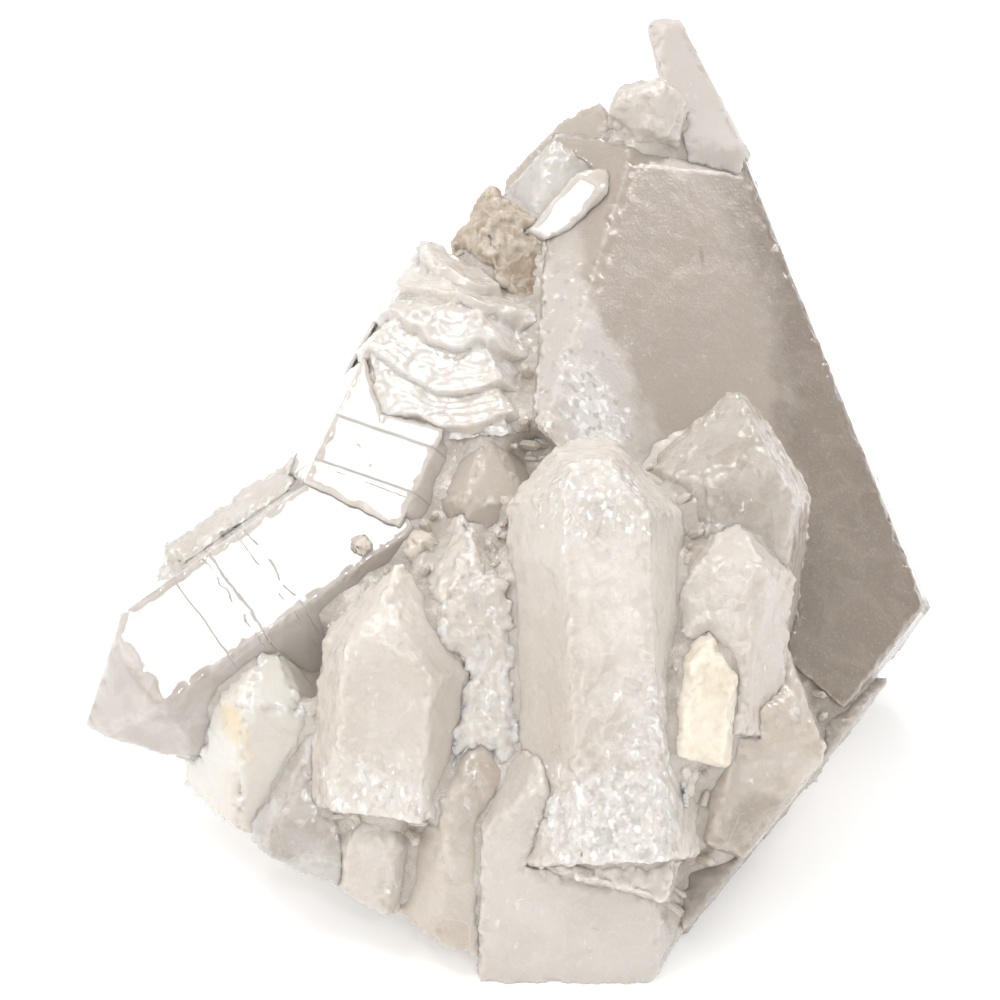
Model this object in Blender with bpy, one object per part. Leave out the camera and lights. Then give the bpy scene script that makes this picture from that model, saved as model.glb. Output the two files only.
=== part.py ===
"""A quartz crystal cluster: intergrown pointed crystals on a broken, rough base.

Every crystal is a quartz point: six prism faces around its long axis and six
sloping end faces, set at the angle that quartz always has. A crystal that grew
crowded by its neighbours has faces of unequal depth and a few extra flat sides
where it met them. Crystals come in order of rank, and each one is trimmed by
those before it, so that neighbours meet along real contact lines with a hair
gap between them. The base is trimmed by all of them.

Lengths in the tables are millimetres. X runs right, Y runs back and Z runs up.
"""
from dataclasses import dataclass
from math import cos, radians, sin

import bmesh
import bpy
from mathutils import Matrix, Vector, noise

MM = 0.001
GAP = 0.3                      # clearance between neighbours
STOCK = 400.0                  # side of the block that a crystal is cut from
END_FACE_ANGLE = radians(51.8)  # end face normal against the long axis
FACE_COUNT = 6                 # prism faces around the long axis
SMALLEST_EDGE = 0.02           # shorter edges left by a cut are merged
ON_PLANE = 0.00001             # a corner this close to a cutting plane lies on it
FLOOR_NORMAL = (0.0, 0.0, -1.0)
EVEN_GIRTH = (1.0,) * FACE_COUNT
NO_SETBACK = (0.0,) * FACE_COUNT

# Where the cluster broke off its bed: its underside slopes up to the left and to the right.
BREAKS = (
    ((-21.5, -34.0, 10.7), (-0.42, -0.19, -0.885)),
    ((31.6, -25.9, 12.7), (0.775, -0.41, -0.48)),
)

BASE_CENTRE = (0.0, 3.0, 13.0)
BASE_RADII = (44.0, 45.0, 17.0)
BASE_SUBDIVISIONS = 4
BASE_ROUGHNESS = ((14.0, 2.6), (5.5, 1.0))   # (size of the lumps, their height)


@dataclass(frozen=True)
class Finish:
    """Colour and surface of a kind of quartz."""

    name: str
    color: tuple
    roughness: float


MILKY = Finish("quartz_milky", (0.78, 0.72, 0.66), 0.35)
CLEAR = Finish("quartz_clear", (0.74, 0.69, 0.64), 0.15)
SMOKY = Finish("quartz_smoky", (0.51, 0.46, 0.40), 0.20)
CREAM = Finish("quartz_cream", (0.86, 0.79, 0.67), 0.45)
STAINED = Finish("quartz_stained", (0.60, 0.45, 0.32), 0.50)
ROUGH = Finish("quartz_rough", (0.72, 0.67, 0.61), 0.60)


@dataclass(frozen=True)
class Crystal:
    """One quartz point, from its root to its tip."""

    name: str
    finish: Finish
    root: tuple
    tip: tuple
    radius: float               # axis to a prism face
    roll: float = 0.0           # turn of the first prism face away from the front
    girth: tuple = EVEN_GIRTH   # depth of each prism face, as a share of the radius
    setback: tuple = NO_SETBACK  # how far each end face starts below the tip
    cuts: tuple = ()            # further flat sides: (point, outward normal)
    on_bed: bool = True         # whether the breaks underneath cut this crystal


CRYSTALS = (
    Crystal("summit_bud", MILKY, (19.0, 50.0, 66.0), (17.5, 38.0, 82.0), 4.3, 10.0,
            setback=(0.0, 1.0, 0.0, 1.5, 0.0, 1.0)),
    Crystal("left_prism", CLEAR, (-13.0, -1.8, 40.8), (-52.5, -19.9, 19.2), 9.2, -9.0,
            girth=(1.0, 1.0, 1.2, 1.2, 1.0, 1.0), setback=(0.0, 0.0, 0.0, 0.0, 0.0, 1.5),
            on_bed=False,
            cuts=(((-51.5, -14.0, 22.0), (-1.0, 0.2, -0.3)),
                  ((-45.0, -17.0, 20.0), (-0.3, -0.3, -0.9)))),
    Crystal("centre_crystal", MILKY, (12.0, -38.0, 16.0), (9.5, -7.5, 61.0), 9.2, 6.0,
            girth=(1.0, 1.0, 1.0, 1.0, 1.0, 0.9), setback=(0.0, 2.0, 0.0, 0.0, 0.0, 1.0),
            cuts=(((9.7, -10.0, 56.5), (-0.05, 0.2, 0.97)),)),
    Crystal("centre_lower", MILKY, (10.6, -36.5, 12.0), (18.5, -18.5, 38.0), 8.8, 12.0,
            girth=(1.05, 1.0, 1.0, 1.0, 1.0, 0.9), setback=(0.0, 2.0, 0.0, 0.0, 0.0, 3.0)),
    Crystal("left_plate", MILKY, (-15.0, -31.0, 19.0), (-12.5, -19.0, 47.0), 7.4, -9.0,
            girth=(0.95, 1.1, 1.0, 1.0, 1.0, 1.05), setback=(0.0, 3.0, 0.0, 0.0, 0.0, 1.0)),
    Crystal("cream_plate", CREAM, (21.5, -33.0, 27.0), (24.0, -23.0, 40.0), 4.2, 8.0,
            setback=(0.0, 1.2, 0.0, 0.0, 0.0, 0.6)),
    Crystal("right_centre_upper", CLEAR, (23.5, -18.0, 20.0), (29.0, 2.0, 60.0), 8.8, 10.0,
            setback=(0.0, 3.0, 0.0, 0.0, 0.0, 2.0),
            cuts=(((29.0, 1.0, 57.5), (0.1, 0.3, 0.95)),)),
    Crystal("right_centre_lower", MILKY, (23.5, -25.0, 26.0), (27.0, -9.0, 50.0), 7.5, -8.0,
            setback=(0.0, 0.0, 0.0, 0.0, 0.0, 2.0)),
    Crystal("right_facet", CLEAR, (25.0, -27.0, 11.0), (33.5, -13.0, 35.5), 9.5, 14.0,
            setback=(0.0, 2.5, 0.0, 0.0, 0.0, 2.0)),
    Crystal("upper_rear", SMOKY, (8.0, 40.0, 34.0), (12.0, 53.0, 75.5), 10.5, 22.0,
            setback=(0.0, 2.0, 0.0, 3.0, 0.0, 2.0)),
    Crystal("shoulder", CLEAR, (8.0, 36.0, 40.0), (6.0, 35.0, 76.0), 7.2, 0.0),
    Crystal("rear_right", CLEAR, (18.0, 34.0, 0.0), (30.0, 62.0, 24.0), 8.0, 5.0,
            setback=(0.0, 2.0, 0.0, 3.0, 0.0, 2.0)),
    Crystal("rear_high", MILKY, (16.0, 36.0, 28.0), (24.0, 61.0, 54.0), 8.5, 24.0,
            setback=(0.0, 1.0, 0.0, 3.0, 0.0, 2.0)),
    Crystal("rear_right_high", CLEAR, (26.0, 26.0, 8.0), (39.0, 52.0, 29.0), 8.0, -12.0,
            setback=(0.0, 2.0, 0.0, 2.0, 0.0, 4.0)),
    Crystal("main_point", SMOKY, (-11.6, 12.1, -30.4), (23.0, 62.4, 84.4), 90.0, 19.0,
            setback=(0.0, 1.5, 0.0, 0.0, 8.0, 0.0),
            cuts=(((3.0, -6.0, 56.0), (-1.0, 0.03, 0.1)),
                  ((52.7, 28.0, 16.7), (0.6, 0.75, -0.2)),
                  ((15.0, 34.0, 72.8), (0.44, -0.27, 0.85)),
                  ((17.0, 40.0, 73.0), (0.1, 0.4, 0.92)),
                  ((49.4, 3.0, 21.0), (0.8, -0.4, -0.45)),
                  ((22.0, -12.0, 41.0), (-0.62, -0.3, -0.6)),
                  ((40.0, -12.0, 20.0), (0.05, -0.35, -0.93)),
                  ((0.0, 57.0, 20.0), (0.1, 1.0, -0.05)))),
    Crystal("summit_point", SMOKY, (9.8, 34.0, 30.0), (21.2, 59.5, 84.0), 13.5, 19.0,
            cuts=(((19.5, 54.0, 79.0), (-0.96, -0.12, -0.24)),
                  ((21.0, 56.0, 82.6), (-0.1, 0.1, 1.0)),
                  ((18.0, 61.0, 70.0), (0.0, 1.0, 0.2)))),
    Crystal("bright_wedge", CLEAR, (5.0, 27.2, 64.3), (13.5, 35.0, 72.0), 3.4, -44.0),
    Crystal("lower_block", MILKY, (9.0, -32.3, -20.0), (9.0, -25.3, 38.0), 12.0, 0.0,
            girth=(0.9, 1.1, 1.0, 1.0, 1.4, 1.6), on_bed=False,
            cuts=(((-3.3, -40.0, 10.0), (-1.0, 0.05, 0.02)),
                  ((20.0, -38.0, 4.0), (0.8, -0.3, -0.4)))),
    Crystal("low_front_mid", CLEAR, (-7.0, -35.2, -5.0), (-4.0, -25.0, 32.0), 7.5, 16.0,
            setback=(0.0, 2.0, 0.0, 0.0, 0.0, 2.0)),
    Crystal("low_front_left", MILKY, (-17.0, -34.0, 0.0), (-15.0, -32.0, 22.0), 4.5, -14.0),
    Crystal("fluted_crystal", CLEAR, (0.0, -6.0, 36.0), (-10.5, 26.0, 67.5), 10.5, 0.0,
            girth=(1.0, 1.0, 1.0, 1.0, 1.2, 1.2), setback=(0.0, 2.0, 0.0, 0.0, 0.0, 0.0),
            cuts=(((-2.3, -2.3, 53.6), (0.1, -0.45, -0.9)),)),
    Crystal("left_slab", CLEAR, (-20.1, -7.3, 34.1), (-1.0, 26.0, 63.0), 10.8, -35.0,
            girth=(1.0, 1.0, 1.0, 1.0, 1.5, 1.05),
            cuts=(((-16.8, -8.6, 46.7), (-0.42, -0.45, -0.78)),)),
    Crystal("left_prism_upper", CLEAR, (-10.4, 14.4, 45.7), (-45.0, -1.4, 26.6), 5.8, 20.0,
            on_bed=False),
    Crystal("stained_shoulder", STAINED, (2.0, 20.0, 54.0), (-2.5, 36.0, 69.5), 5.5, 25.0,
            setback=(0.0, 1.0, 0.0, 1.5, 0.0, 1.0)),
    Crystal("mid_left_rough", CLEAR, (-3.0, -30.0, 16.0), (-6.0, -10.0, 49.0), 7.0, 11.0,
            setback=(0.0, 2.0, 0.0, 0.0, 0.0, 3.0)),
    Crystal("brown_bud_left", STAINED, (-17.0, -8.0, 40.0), (-18.4, -13.5, 45.0), 1.9, 0.0),
    Crystal("brown_bud_right", STAINED, (-9.0, -10.0, 40.0), (-10.6, -15.0, 46.5), 2.2, 0.0),
    Crystal("lower_right", SMOKY, (14.0, -38.0, 0.0), (50.0, -4.0, 20.0), 9.0, 8.0,
            cuts=(((21.0, -36.0, 8.0), (-1.0, 0.0, 0.0)),)),
    Crystal("lower_left_clear", CLEAR, (-31.0, -24.0, 4.0), (-28.0, -14.0, 37.0), 8.5, 13.0,
            setback=(0.0, 3.0, 0.0, 0.0, 0.0, 0.0)),
    Crystal("lower_left_body", CLEAR, (-24.0, -22.0, -10.0), (-24.0, -24.0, 30.0), 12.0, -8.0,
            setback=(0.0, 0.0, 0.0, 0.0, 0.0, 3.0)),
    Crystal("recess_prism", SMOKY, (-1.0, -14.0, 16.0), (-1.0, 2.0, 56.0), 8.5, 5.0,
            setback=(0.0, 3.0, 0.0, 0.0, 0.0, 0.0)),
    Crystal("rear_recess", SMOKY, (-2.0, 12.0, 30.0), (2.0, 24.0, 70.0), 7.0, 10.0),
    Crystal("rear_upper", MILKY, (2.0, 20.0, 34.0), (-13.0, 36.0, 56.0), 8.0, 22.0,
            setback=(0.0, 2.0, 0.0, 3.0, 0.0, 2.0)),
    Crystal("rear_left", MILKY, (-8.0, 12.0, 6.0), (-42.0, 27.0, 21.0), 10.0, 10.0,
            setback=(0.0, 3.0, 0.0, 3.0, 0.0, 2.0)),
    Crystal("rear_under_prism", CLEAR, (-6.0, 8.0, 6.0), (-43.0, 8.0, 17.0), 7.5, 18.0,
            setback=(0.0, 2.0, 0.0, 2.0, 0.0, 1.0)),
    Crystal("rear_left_low", CLEAR, (-4.0, 20.0, 2.0), (-29.0, 46.0, 26.0), 9.5, 20.0,
            setback=(0.0, 2.0, 0.0, 4.0, 0.0, 1.0)),
    Crystal("rear_mid", MILKY, (-4.0, 26.0, 6.0), (-12.0, 46.0, 50.0), 10.5, 12.0,
            setback=(0.0, 4.0, 0.0, 2.0, 0.0, 3.0)),
    Crystal("rear_low", CLEAR, (4.0, 34.0, 4.0), (-2.0, 59.0, 30.0), 8.5, 15.0,
            setback=(0.0, 2.0, 0.0, 3.0, 0.0, 2.0)),
)


def clear_scene():
    """Removes whatever the file was opened with."""
    for obj in list(bpy.data.objects):
        bpy.data.objects.remove(obj, do_unlink=True)


def make_material(finish):
    """A plain Principled material for a kind of quartz."""
    material = bpy.data.materials.get(finish.name)
    if material is None:
        material = bpy.data.materials.new(finish.name)
        material.use_nodes = True
        shader = material.node_tree.nodes["Principled BSDF"]
        shader.inputs["Base Color"].default_value = (*finish.color, 1.0)
        shader.inputs["Roughness"].default_value = finish.roughness
        shader.inputs["Metallic"].default_value = 0.0
    return material


def face_planes(crystal):
    """Every flat side of a crystal, as a point on it and its outward normal."""
    root = Vector(crystal.root)
    tip = Vector(crystal.tip)
    axis = (tip - root).normalized()
    front = Vector((0.0, -1.0, 0.0))
    front = (front - front.dot(axis) * axis).normalized()
    planes = [(root, -axis), (Vector(), Vector(FLOOR_NORMAL))]
    for index in range(FACE_COUNT):
        turn = radians(crystal.roll) + radians(360.0 / FACE_COUNT) * index
        outward = Matrix.Rotation(turn, 3, axis) @ front
        planes.append((root + outward * crystal.radius * crystal.girth[index], outward))
        slope = sin(END_FACE_ANGLE) * outward + cos(END_FACE_ANGLE) * axis
        planes.append((tip - axis * crystal.setback[index], slope))
    flat_sides = crystal.cuts + (BREAKS if crystal.on_bed else ())
    planes.extend((Vector(point), Vector(normal).normalized()) for point, normal in flat_sides)
    return planes


def slice_off(body, point, normal):
    """Cuts away what lies beyond a plane and closes the cut."""
    geometry = body.verts[:] + body.edges[:] + body.faces[:]
    bmesh.ops.bisect_plane(body, geom=geometry, dist=ON_PLANE * MM, plane_co=point,
                           plane_no=normal, clear_outer=True)
    rim = [edge for edge in body.edges if edge.is_boundary]
    if rim:
        bmesh.ops.contextual_create(body, geom=rim)


def crystal_mesh(crystal, growth):
    """The crystal's convex body, with every side but the floor moved out by growth."""
    body = bmesh.new()
    bmesh.ops.create_cube(body, size=STOCK * MM)
    for point, normal in face_planes(crystal):
        slice_off(body, (point + normal * growth) * MM, normal)
    bmesh.ops.remove_doubles(body, verts=body.verts, dist=SMALLEST_EDGE * MM)
    bmesh.ops.recalc_face_normals(body, faces=body.faces)
    mesh = bpy.data.meshes.new(crystal.name)
    body.to_mesh(mesh)
    body.free()
    return mesh


def add_object(name, mesh, finish):
    """Puts a mesh into the scene as a named piece."""
    obj = bpy.data.objects.new(name, mesh)
    mesh.materials.clear()
    mesh.materials.append(make_material(finish))
    bpy.context.scene.collection.objects.link(obj)
    return obj


def boxes_meet(first, second):
    """Whether two meshes' boxes overlap."""
    corners = []
    for mesh in (first, second):
        points = [vertex.co for vertex in mesh.vertices]
        low = [min(point[axis] for point in points) for axis in range(3)]
        high = [max(point[axis] for point in points) for axis in range(3)]
        corners.append((low, high))
    (low_a, high_a), (low_b, high_b) = corners
    return all(low_a[axis] < high_b[axis] and low_b[axis] < high_a[axis] for axis in range(3))


def largest_island(mesh):
    """Keeps a mesh's largest connected body and drops slivers cut off it."""
    body = bmesh.new()
    body.from_mesh(mesh)
    bmesh.ops.remove_doubles(body, verts=body.verts, dist=SMALLEST_EDGE * MM)
    bmesh.ops.dissolve_degenerate(body, edges=body.edges, dist=SMALLEST_EDGE * MM)
    unseen = set(body.verts)
    islands = []
    while unseen:
        stack = [unseen.pop()]
        island = set(stack)
        while stack:
            for edge in stack.pop().link_edges:
                for vertex in edge.verts:
                    if vertex in unseen:
                        unseen.discard(vertex)
                        island.add(vertex)
                        stack.append(vertex)
        islands.append(island)

    def spread(island):
        """Diagonal of an island's box."""
        spans = []
        for axis in range(3):
            values = [vertex.co[axis] for vertex in island]
            spans.append(max(values) - min(values))
        return Vector(spans).length

    islands.sort(key=lambda island: (spread(island), len(island)), reverse=True)
    for island in islands[1:]:
        bmesh.ops.delete(body, geom=list(island), context="VERTS")
    body.to_mesh(mesh)
    body.free()


def trim(obj, cutters):
    """Cuts an object by the grown bodies of the crystals that come before it."""
    helpers = []
    for index, cutter in enumerate(cutters):
        helper = bpy.data.objects.new(f"cutter_{index}", cutter)
        helper.hide_render = True
        helper.display_type = "WIRE"
        bpy.context.scene.collection.objects.link(helper)
        helpers.append(helper)
        modifier = obj.modifiers.new(helper.name, "BOOLEAN")
        modifier.operation = "DIFFERENCE"
        modifier.solver = "EXACT"
        modifier.object = helper
    depsgraph = bpy.context.evaluated_depsgraph_get()
    trimmed = bpy.data.meshes.new_from_object(obj.evaluated_get(depsgraph))
    obj.modifiers.clear()
    for helper in helpers:
        bpy.data.objects.remove(helper, do_unlink=True)
    largest_island(trimmed)
    obj.data = trimmed


def base_mesh():
    """The lumpy broken base, flat underneath where it rests."""
    body = bmesh.new()
    bmesh.ops.create_icosphere(body, subdivisions=BASE_SUBDIVISIONS, radius=1.0)
    for vertex in body.verts:
        direction = vertex.co.normalized()
        point = Vector(BASE_CENTRE) + Vector(
            [direction[axis] * BASE_RADII[axis] for axis in range(3)])
        for size, height in BASE_ROUGHNESS:
            point += direction * height * noise.noise(point / size)
        vertex.co = point * MM
    slice_off(body, Vector(), Vector(FLOOR_NORMAL))
    for point, normal in BREAKS:
        slice_off(body, Vector(point) * MM, Vector(normal).normalized())
    bmesh.ops.recalc_face_normals(body, faces=body.faces)
    mesh = bpy.data.meshes.new("matrix")
    body.to_mesh(mesh)
    body.free()
    return mesh


def centre_on_origin():
    """Hangs every piece on one empty that puts the cluster's middle over the origin."""
    pieces = [obj for obj in bpy.data.objects if obj.type == "MESH"]
    points = [vertex.co for obj in pieces for vertex in obj.data.vertices]
    cluster = bpy.data.objects.new("cluster", None)
    bpy.context.scene.collection.objects.link(cluster)
    for axis in (0, 1):
        values = [point[axis] for point in points]
        cluster.location[axis] = -(min(values) + max(values)) / 2
    for obj in pieces:
        obj.parent = cluster
    bpy.context.view_layer.update()


def main():
    """Builds the crystals in order of rank, and the base under them."""
    clear_scene()
    grown = []
    for crystal in CRYSTALS:
        obj = add_object(crystal.name, crystal_mesh(crystal, 0.0), crystal.finish)
        trim(obj, [mesh for mesh in grown if boxes_meet(mesh, obj.data)])
        grown.append(crystal_mesh(crystal, GAP))
    base = add_object("matrix", base_mesh(), ROUGH)
    trim(base, [mesh for mesh in grown if boxes_meet(mesh, base.data)])
    centre_on_origin()


if __name__ == "__main__":
    main()
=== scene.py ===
"""Looks of a quartz crystal cluster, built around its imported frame.

Each solid of the frame is stood for by a finely divided copy of itself. The copy swells
a little, so that neighbours meet, loses its knife edges, and takes the relief that quartz
shows: growth lines across the prisms, scaly etched faces, splintered breaks and
shell-like ledges. Its finish is milky, clear, smoky, cream, stained or rough.
"""

from __future__ import annotations

import logging
import math
import random
from dataclasses import dataclass, field, fields, replace
from enum import Enum

import bmesh
import bpy
from mathutils import Matrix, Vector, kdtree, noise
from mathutils.bvhtree import BVHTree

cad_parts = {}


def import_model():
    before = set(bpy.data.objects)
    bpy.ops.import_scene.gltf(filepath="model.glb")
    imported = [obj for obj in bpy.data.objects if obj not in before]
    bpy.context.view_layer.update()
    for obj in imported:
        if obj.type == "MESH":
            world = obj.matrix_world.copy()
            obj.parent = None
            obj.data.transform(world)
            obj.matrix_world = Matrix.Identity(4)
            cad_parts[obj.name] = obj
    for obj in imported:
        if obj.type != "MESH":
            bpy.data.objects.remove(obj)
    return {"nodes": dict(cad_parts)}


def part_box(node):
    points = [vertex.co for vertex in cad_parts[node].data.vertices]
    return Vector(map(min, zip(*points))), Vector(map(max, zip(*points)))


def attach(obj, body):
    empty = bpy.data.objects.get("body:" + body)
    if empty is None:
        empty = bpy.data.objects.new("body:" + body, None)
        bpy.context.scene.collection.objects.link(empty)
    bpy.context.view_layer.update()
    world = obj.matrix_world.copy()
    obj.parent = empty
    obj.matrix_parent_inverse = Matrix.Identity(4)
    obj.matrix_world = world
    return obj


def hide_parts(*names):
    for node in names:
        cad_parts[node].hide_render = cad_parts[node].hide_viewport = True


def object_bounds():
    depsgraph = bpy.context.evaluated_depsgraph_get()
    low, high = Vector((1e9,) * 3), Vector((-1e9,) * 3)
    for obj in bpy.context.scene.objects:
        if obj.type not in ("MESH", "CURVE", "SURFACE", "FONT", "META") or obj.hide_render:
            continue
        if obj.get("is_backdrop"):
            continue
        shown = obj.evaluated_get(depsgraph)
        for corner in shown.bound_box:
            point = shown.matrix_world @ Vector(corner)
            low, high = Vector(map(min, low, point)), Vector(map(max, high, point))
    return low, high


LOG = logging.getLogger("quartz_cluster")
MM = 0.001
EDGE_ATTRIBUTE = "edge"
Triple = tuple[float, float, float]
ORIGIN = (0.0, 0.0, 0.0)

# Meshes, in millimetres where they're lengths.
RIM_REACH = 0.6
SHARP_ANGLE = math.radians(14)
SHARP_STEP = 0.4
FLAT_ANGLE = math.radians(0.6)
WELD = 0.004 * MM
SHRINK = 0.6
SMOOTH_BAND = 0.9

# Materials: linear colours, and shares from 0 to 1.
NUMBER_RESULTS = ("DOT_PRODUCT", "LENGTH")
QUARTZ_IOR = 1.54
SCATTER_TINT = (1.0, 0.92, 0.84)
BRIGHTEST = 0.96
# Painted glints: near-white colour, its share and its low roughness, laid on the shard cells
# that stand in for glints.
PAINTED_GLINT = (0.97, 0.965, 0.95)
PAINTED_GLINT_SHARE = 0.8
GLINT_ROUGH = 0.08
# Painted shade: share and darkening laid on the shard cells that stand in for shade.
SHADE_SHARE = 0.3
SHADE_TINT = 0.8
SHARD_STRETCH = (1.4, 1.2, 0.65)
SHARD_LIFT = 0.35
CELL_LIFT = 0.12
CRACK = (0.40, 0.38, 0.37)
CRACK_SHARE = 0.8
CRACK_DEPTH = 0.5
PATCH_SCALE = 0.14 / MM
PATCH_RAMP = (0.52, 0.68)
SEED_STEP = 0.013


# ---------------------------------------------------------------- relief of the faces


class Relief:
    """A kind of relief: how far a point of a face stands out or lies back."""

    def height(self, point: Vector, normal: Vector, edge: float) -> float:
        """Height of the relief at a point.

        Args:
            point: place of the point from the middle of its crystal, in millimetres.
            normal: direction that the face looks in there.
            edge: 1 on a sharp edge, falling to 0 a few millimetres away.

        Returns:
            Millimetres outwards, or inwards where it is below zero.
        """
        raise NotImplementedError


@dataclass(frozen=True)
class Grain(Relief):
    """Soft unevenness, as of a face that grew slowly."""

    depth: float
    size: float
    seed: float = 0.0

    def height(self, point: Vector, normal: Vector, edge: float) -> float:
        """Fractal noise of the grain's depth."""
        place = point / self.size + Vector((self.seed, 0.0, 0.0))
        return self.depth * noise.fractal(place, 0.9, 2.1, 3)


@dataclass(frozen=True)
class Facets(Relief):
    """Small flat facets that lean at random, as on etched or splintered quartz."""

    depth: float
    size: float
    seed: float = 0.0
    stretch: Triple = (1.0, 1.0, 1.0)

    def height(self, point: Vector, normal: Vector, edge: float) -> float:
        """Height on the facet that holds the point.

        Args:
            point: place from the middle of the crystal, in millimetres.
            normal: direction that the face looks in.
            edge: 1 on a sharp edge, falling to 0 away from it.

        Returns:
            Millimetres outwards, or inwards below zero.
        """
        place = Vector(p * s for p, s in zip(point / self.size, self.stretch))
        place += Vector((self.seed, self.seed, 0.0))
        centre = noise.voronoi(place)[1][0]
        lean = noise.cell_vector(centre * 7.3) - Vector((0.5, 0.5, 0.5))
        return 2.0 * self.depth * lean.dot(place - centre)


@dataclass(frozen=True)
class Pits(Relief):
    """Shallow round etch pits, scattered in patches."""

    depth: float
    size: float
    patch: float = 6.0

    def height(self, point: Vector, normal: Vector, edge: float) -> float:
        """Depth of the pit at the point, or 0 between pits.

        Args:
            point: place from the middle of the crystal, in millimetres.
            normal: direction that the face looks in.
            edge: 1 on a sharp edge, falling to 0 away from it.

        Returns:
            Millimetres outwards, or inwards below zero.
        """
        if noise.noise(point / self.patch) < 0.0:
            return 0.0
        far = noise.voronoi(point / self.size)[0][0]
        return -self.depth * max(0.0, 1.0 - far / 0.42)


@dataclass(frozen=True)
class GrowthLines(Relief):
    """Fine steps across the prism faces, square to the way that the crystal grew."""

    depth: float
    pitch: float
    axis: Triple

    def height(self, point: Vector, normal: Vector, edge: float) -> float:
        """Height of the growth step at the point, nothing on the end faces.

        Args:
            point: place from the middle of the crystal, in millimetres.
            normal: direction that the face looks in.
            edge: 1 on a sharp edge, falling to 0 away from it.

        Returns:
            Millimetres outwards, or inwards below zero.
        """
        axis = Vector(self.axis).normalized()
        across = max(0.0, 1.0 - (normal.dot(axis) / 0.45) ** 2)
        along = point.dot(axis)
        drift = noise.noise(point / 11.0) * 1.2
        line = noise.noise(Vector((along / self.pitch + drift, 0.0, 0.0)))
        return self.depth * across * max(-1.0, min(1.0, 2.6 * line))


@dataclass(frozen=True)
class Ledges(Relief):
    """Shell-like ledges that run in arcs round a point, each a long rise and a sharp drop."""

    depth: float
    pitch: float
    centre: Triple
    wander: float = 0.35

    def height(self, point: Vector, normal: Vector, edge: float) -> float:
        """Height on the ledge that holds the point.

        Args:
            point: place from the middle of the crystal, in millimetres.
            normal: direction that the face looks in.
            edge: 1 on a sharp edge, falling to 0 away from it.

        Returns:
            Millimetres outwards, or inwards below zero.
        """
        far = (point - Vector(self.centre)).length / self.pitch
        far += self.wander * noise.fractal(point / 9.0, 0.9, 2.0, 3)
        share = far - math.floor(far)
        rise = share / 0.9 if share < 0.9 else (1.0 - share) / 0.1
        ripple = 0.05 * math.sin(far * 31.0 + 4.0 * noise.noise(point / 4.0))
        return self.depth * (rise - 0.7 + ripple)


@dataclass(frozen=True)
class Chips(Relief):
    """Bites out of the sharp edges."""

    depth: float
    size: float

    def height(self, point: Vector, normal: Vector, edge: float) -> float:
        """Depth of the bite at the point, deepest right on an edge."""
        bite = noise.noise(point / self.size) + 0.5 * noise.noise(point / self.size * 2.3)
        return -self.depth * edge * edge * max(0.0, bite + 0.25)


@dataclass(frozen=True)
class Ragged(Relief):
    """A lumpy, gnawed outline: the edges swing in and out, the faces stay as they are."""

    depth: float
    size: float

    def height(self, point: Vector, normal: Vector, edge: float) -> float:
        """Swing of the outline at the point, more inwards than outwards."""
        swing = noise.fractal(point / self.size, 0.7, 2.2, 3) - 0.15
        return self.depth * edge * max(-1.0, min(0.5, 1.6 * swing))


@dataclass(frozen=True)
class ShardPatch(Relief):
    """A patch where the surface has splintered into small leaning facets."""

    centre: Triple
    radius: float
    depth: float = 0.4
    size: float = 1.5

    def height(self, point: Vector, normal: Vector, edge: float) -> float:
        """Height on the patch's facets, fading out towards its ragged rim.

        Args:
            point: place from the middle of the crystal, in millimetres.
            normal: direction that the face looks in.
            edge: 1 on a sharp edge, falling to 0 away from it.

        Returns:
            Millimetres outwards, or inwards below zero.
        """
        far = (point - Vector(self.centre)).length / self.radius
        share = 1.3 - far + 0.5 * noise.noise(point / 1.8)
        if share <= 0.0:
            return 0.0
        place = point / self.size
        middle = noise.voronoi(place)[1][0]
        lean = noise.cell_vector(middle * 5.1) - Vector((0.5, 0.5, 0.5))
        return min(1.0, 2.0 * share) * (2.0 * self.depth * lean.dot(place - middle) - 0.1)


@dataclass(frozen=True)
class Skin:
    """How a crystal's surface is worked, in millimetres."""

    reliefs: tuple[Relief, ...]
    grid: float = 0.75
    swell: float = 0.25
    rounding: int = 3
    edge_reach: float = 1.6


# ---------------------------------------------------------------- node trees


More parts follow.
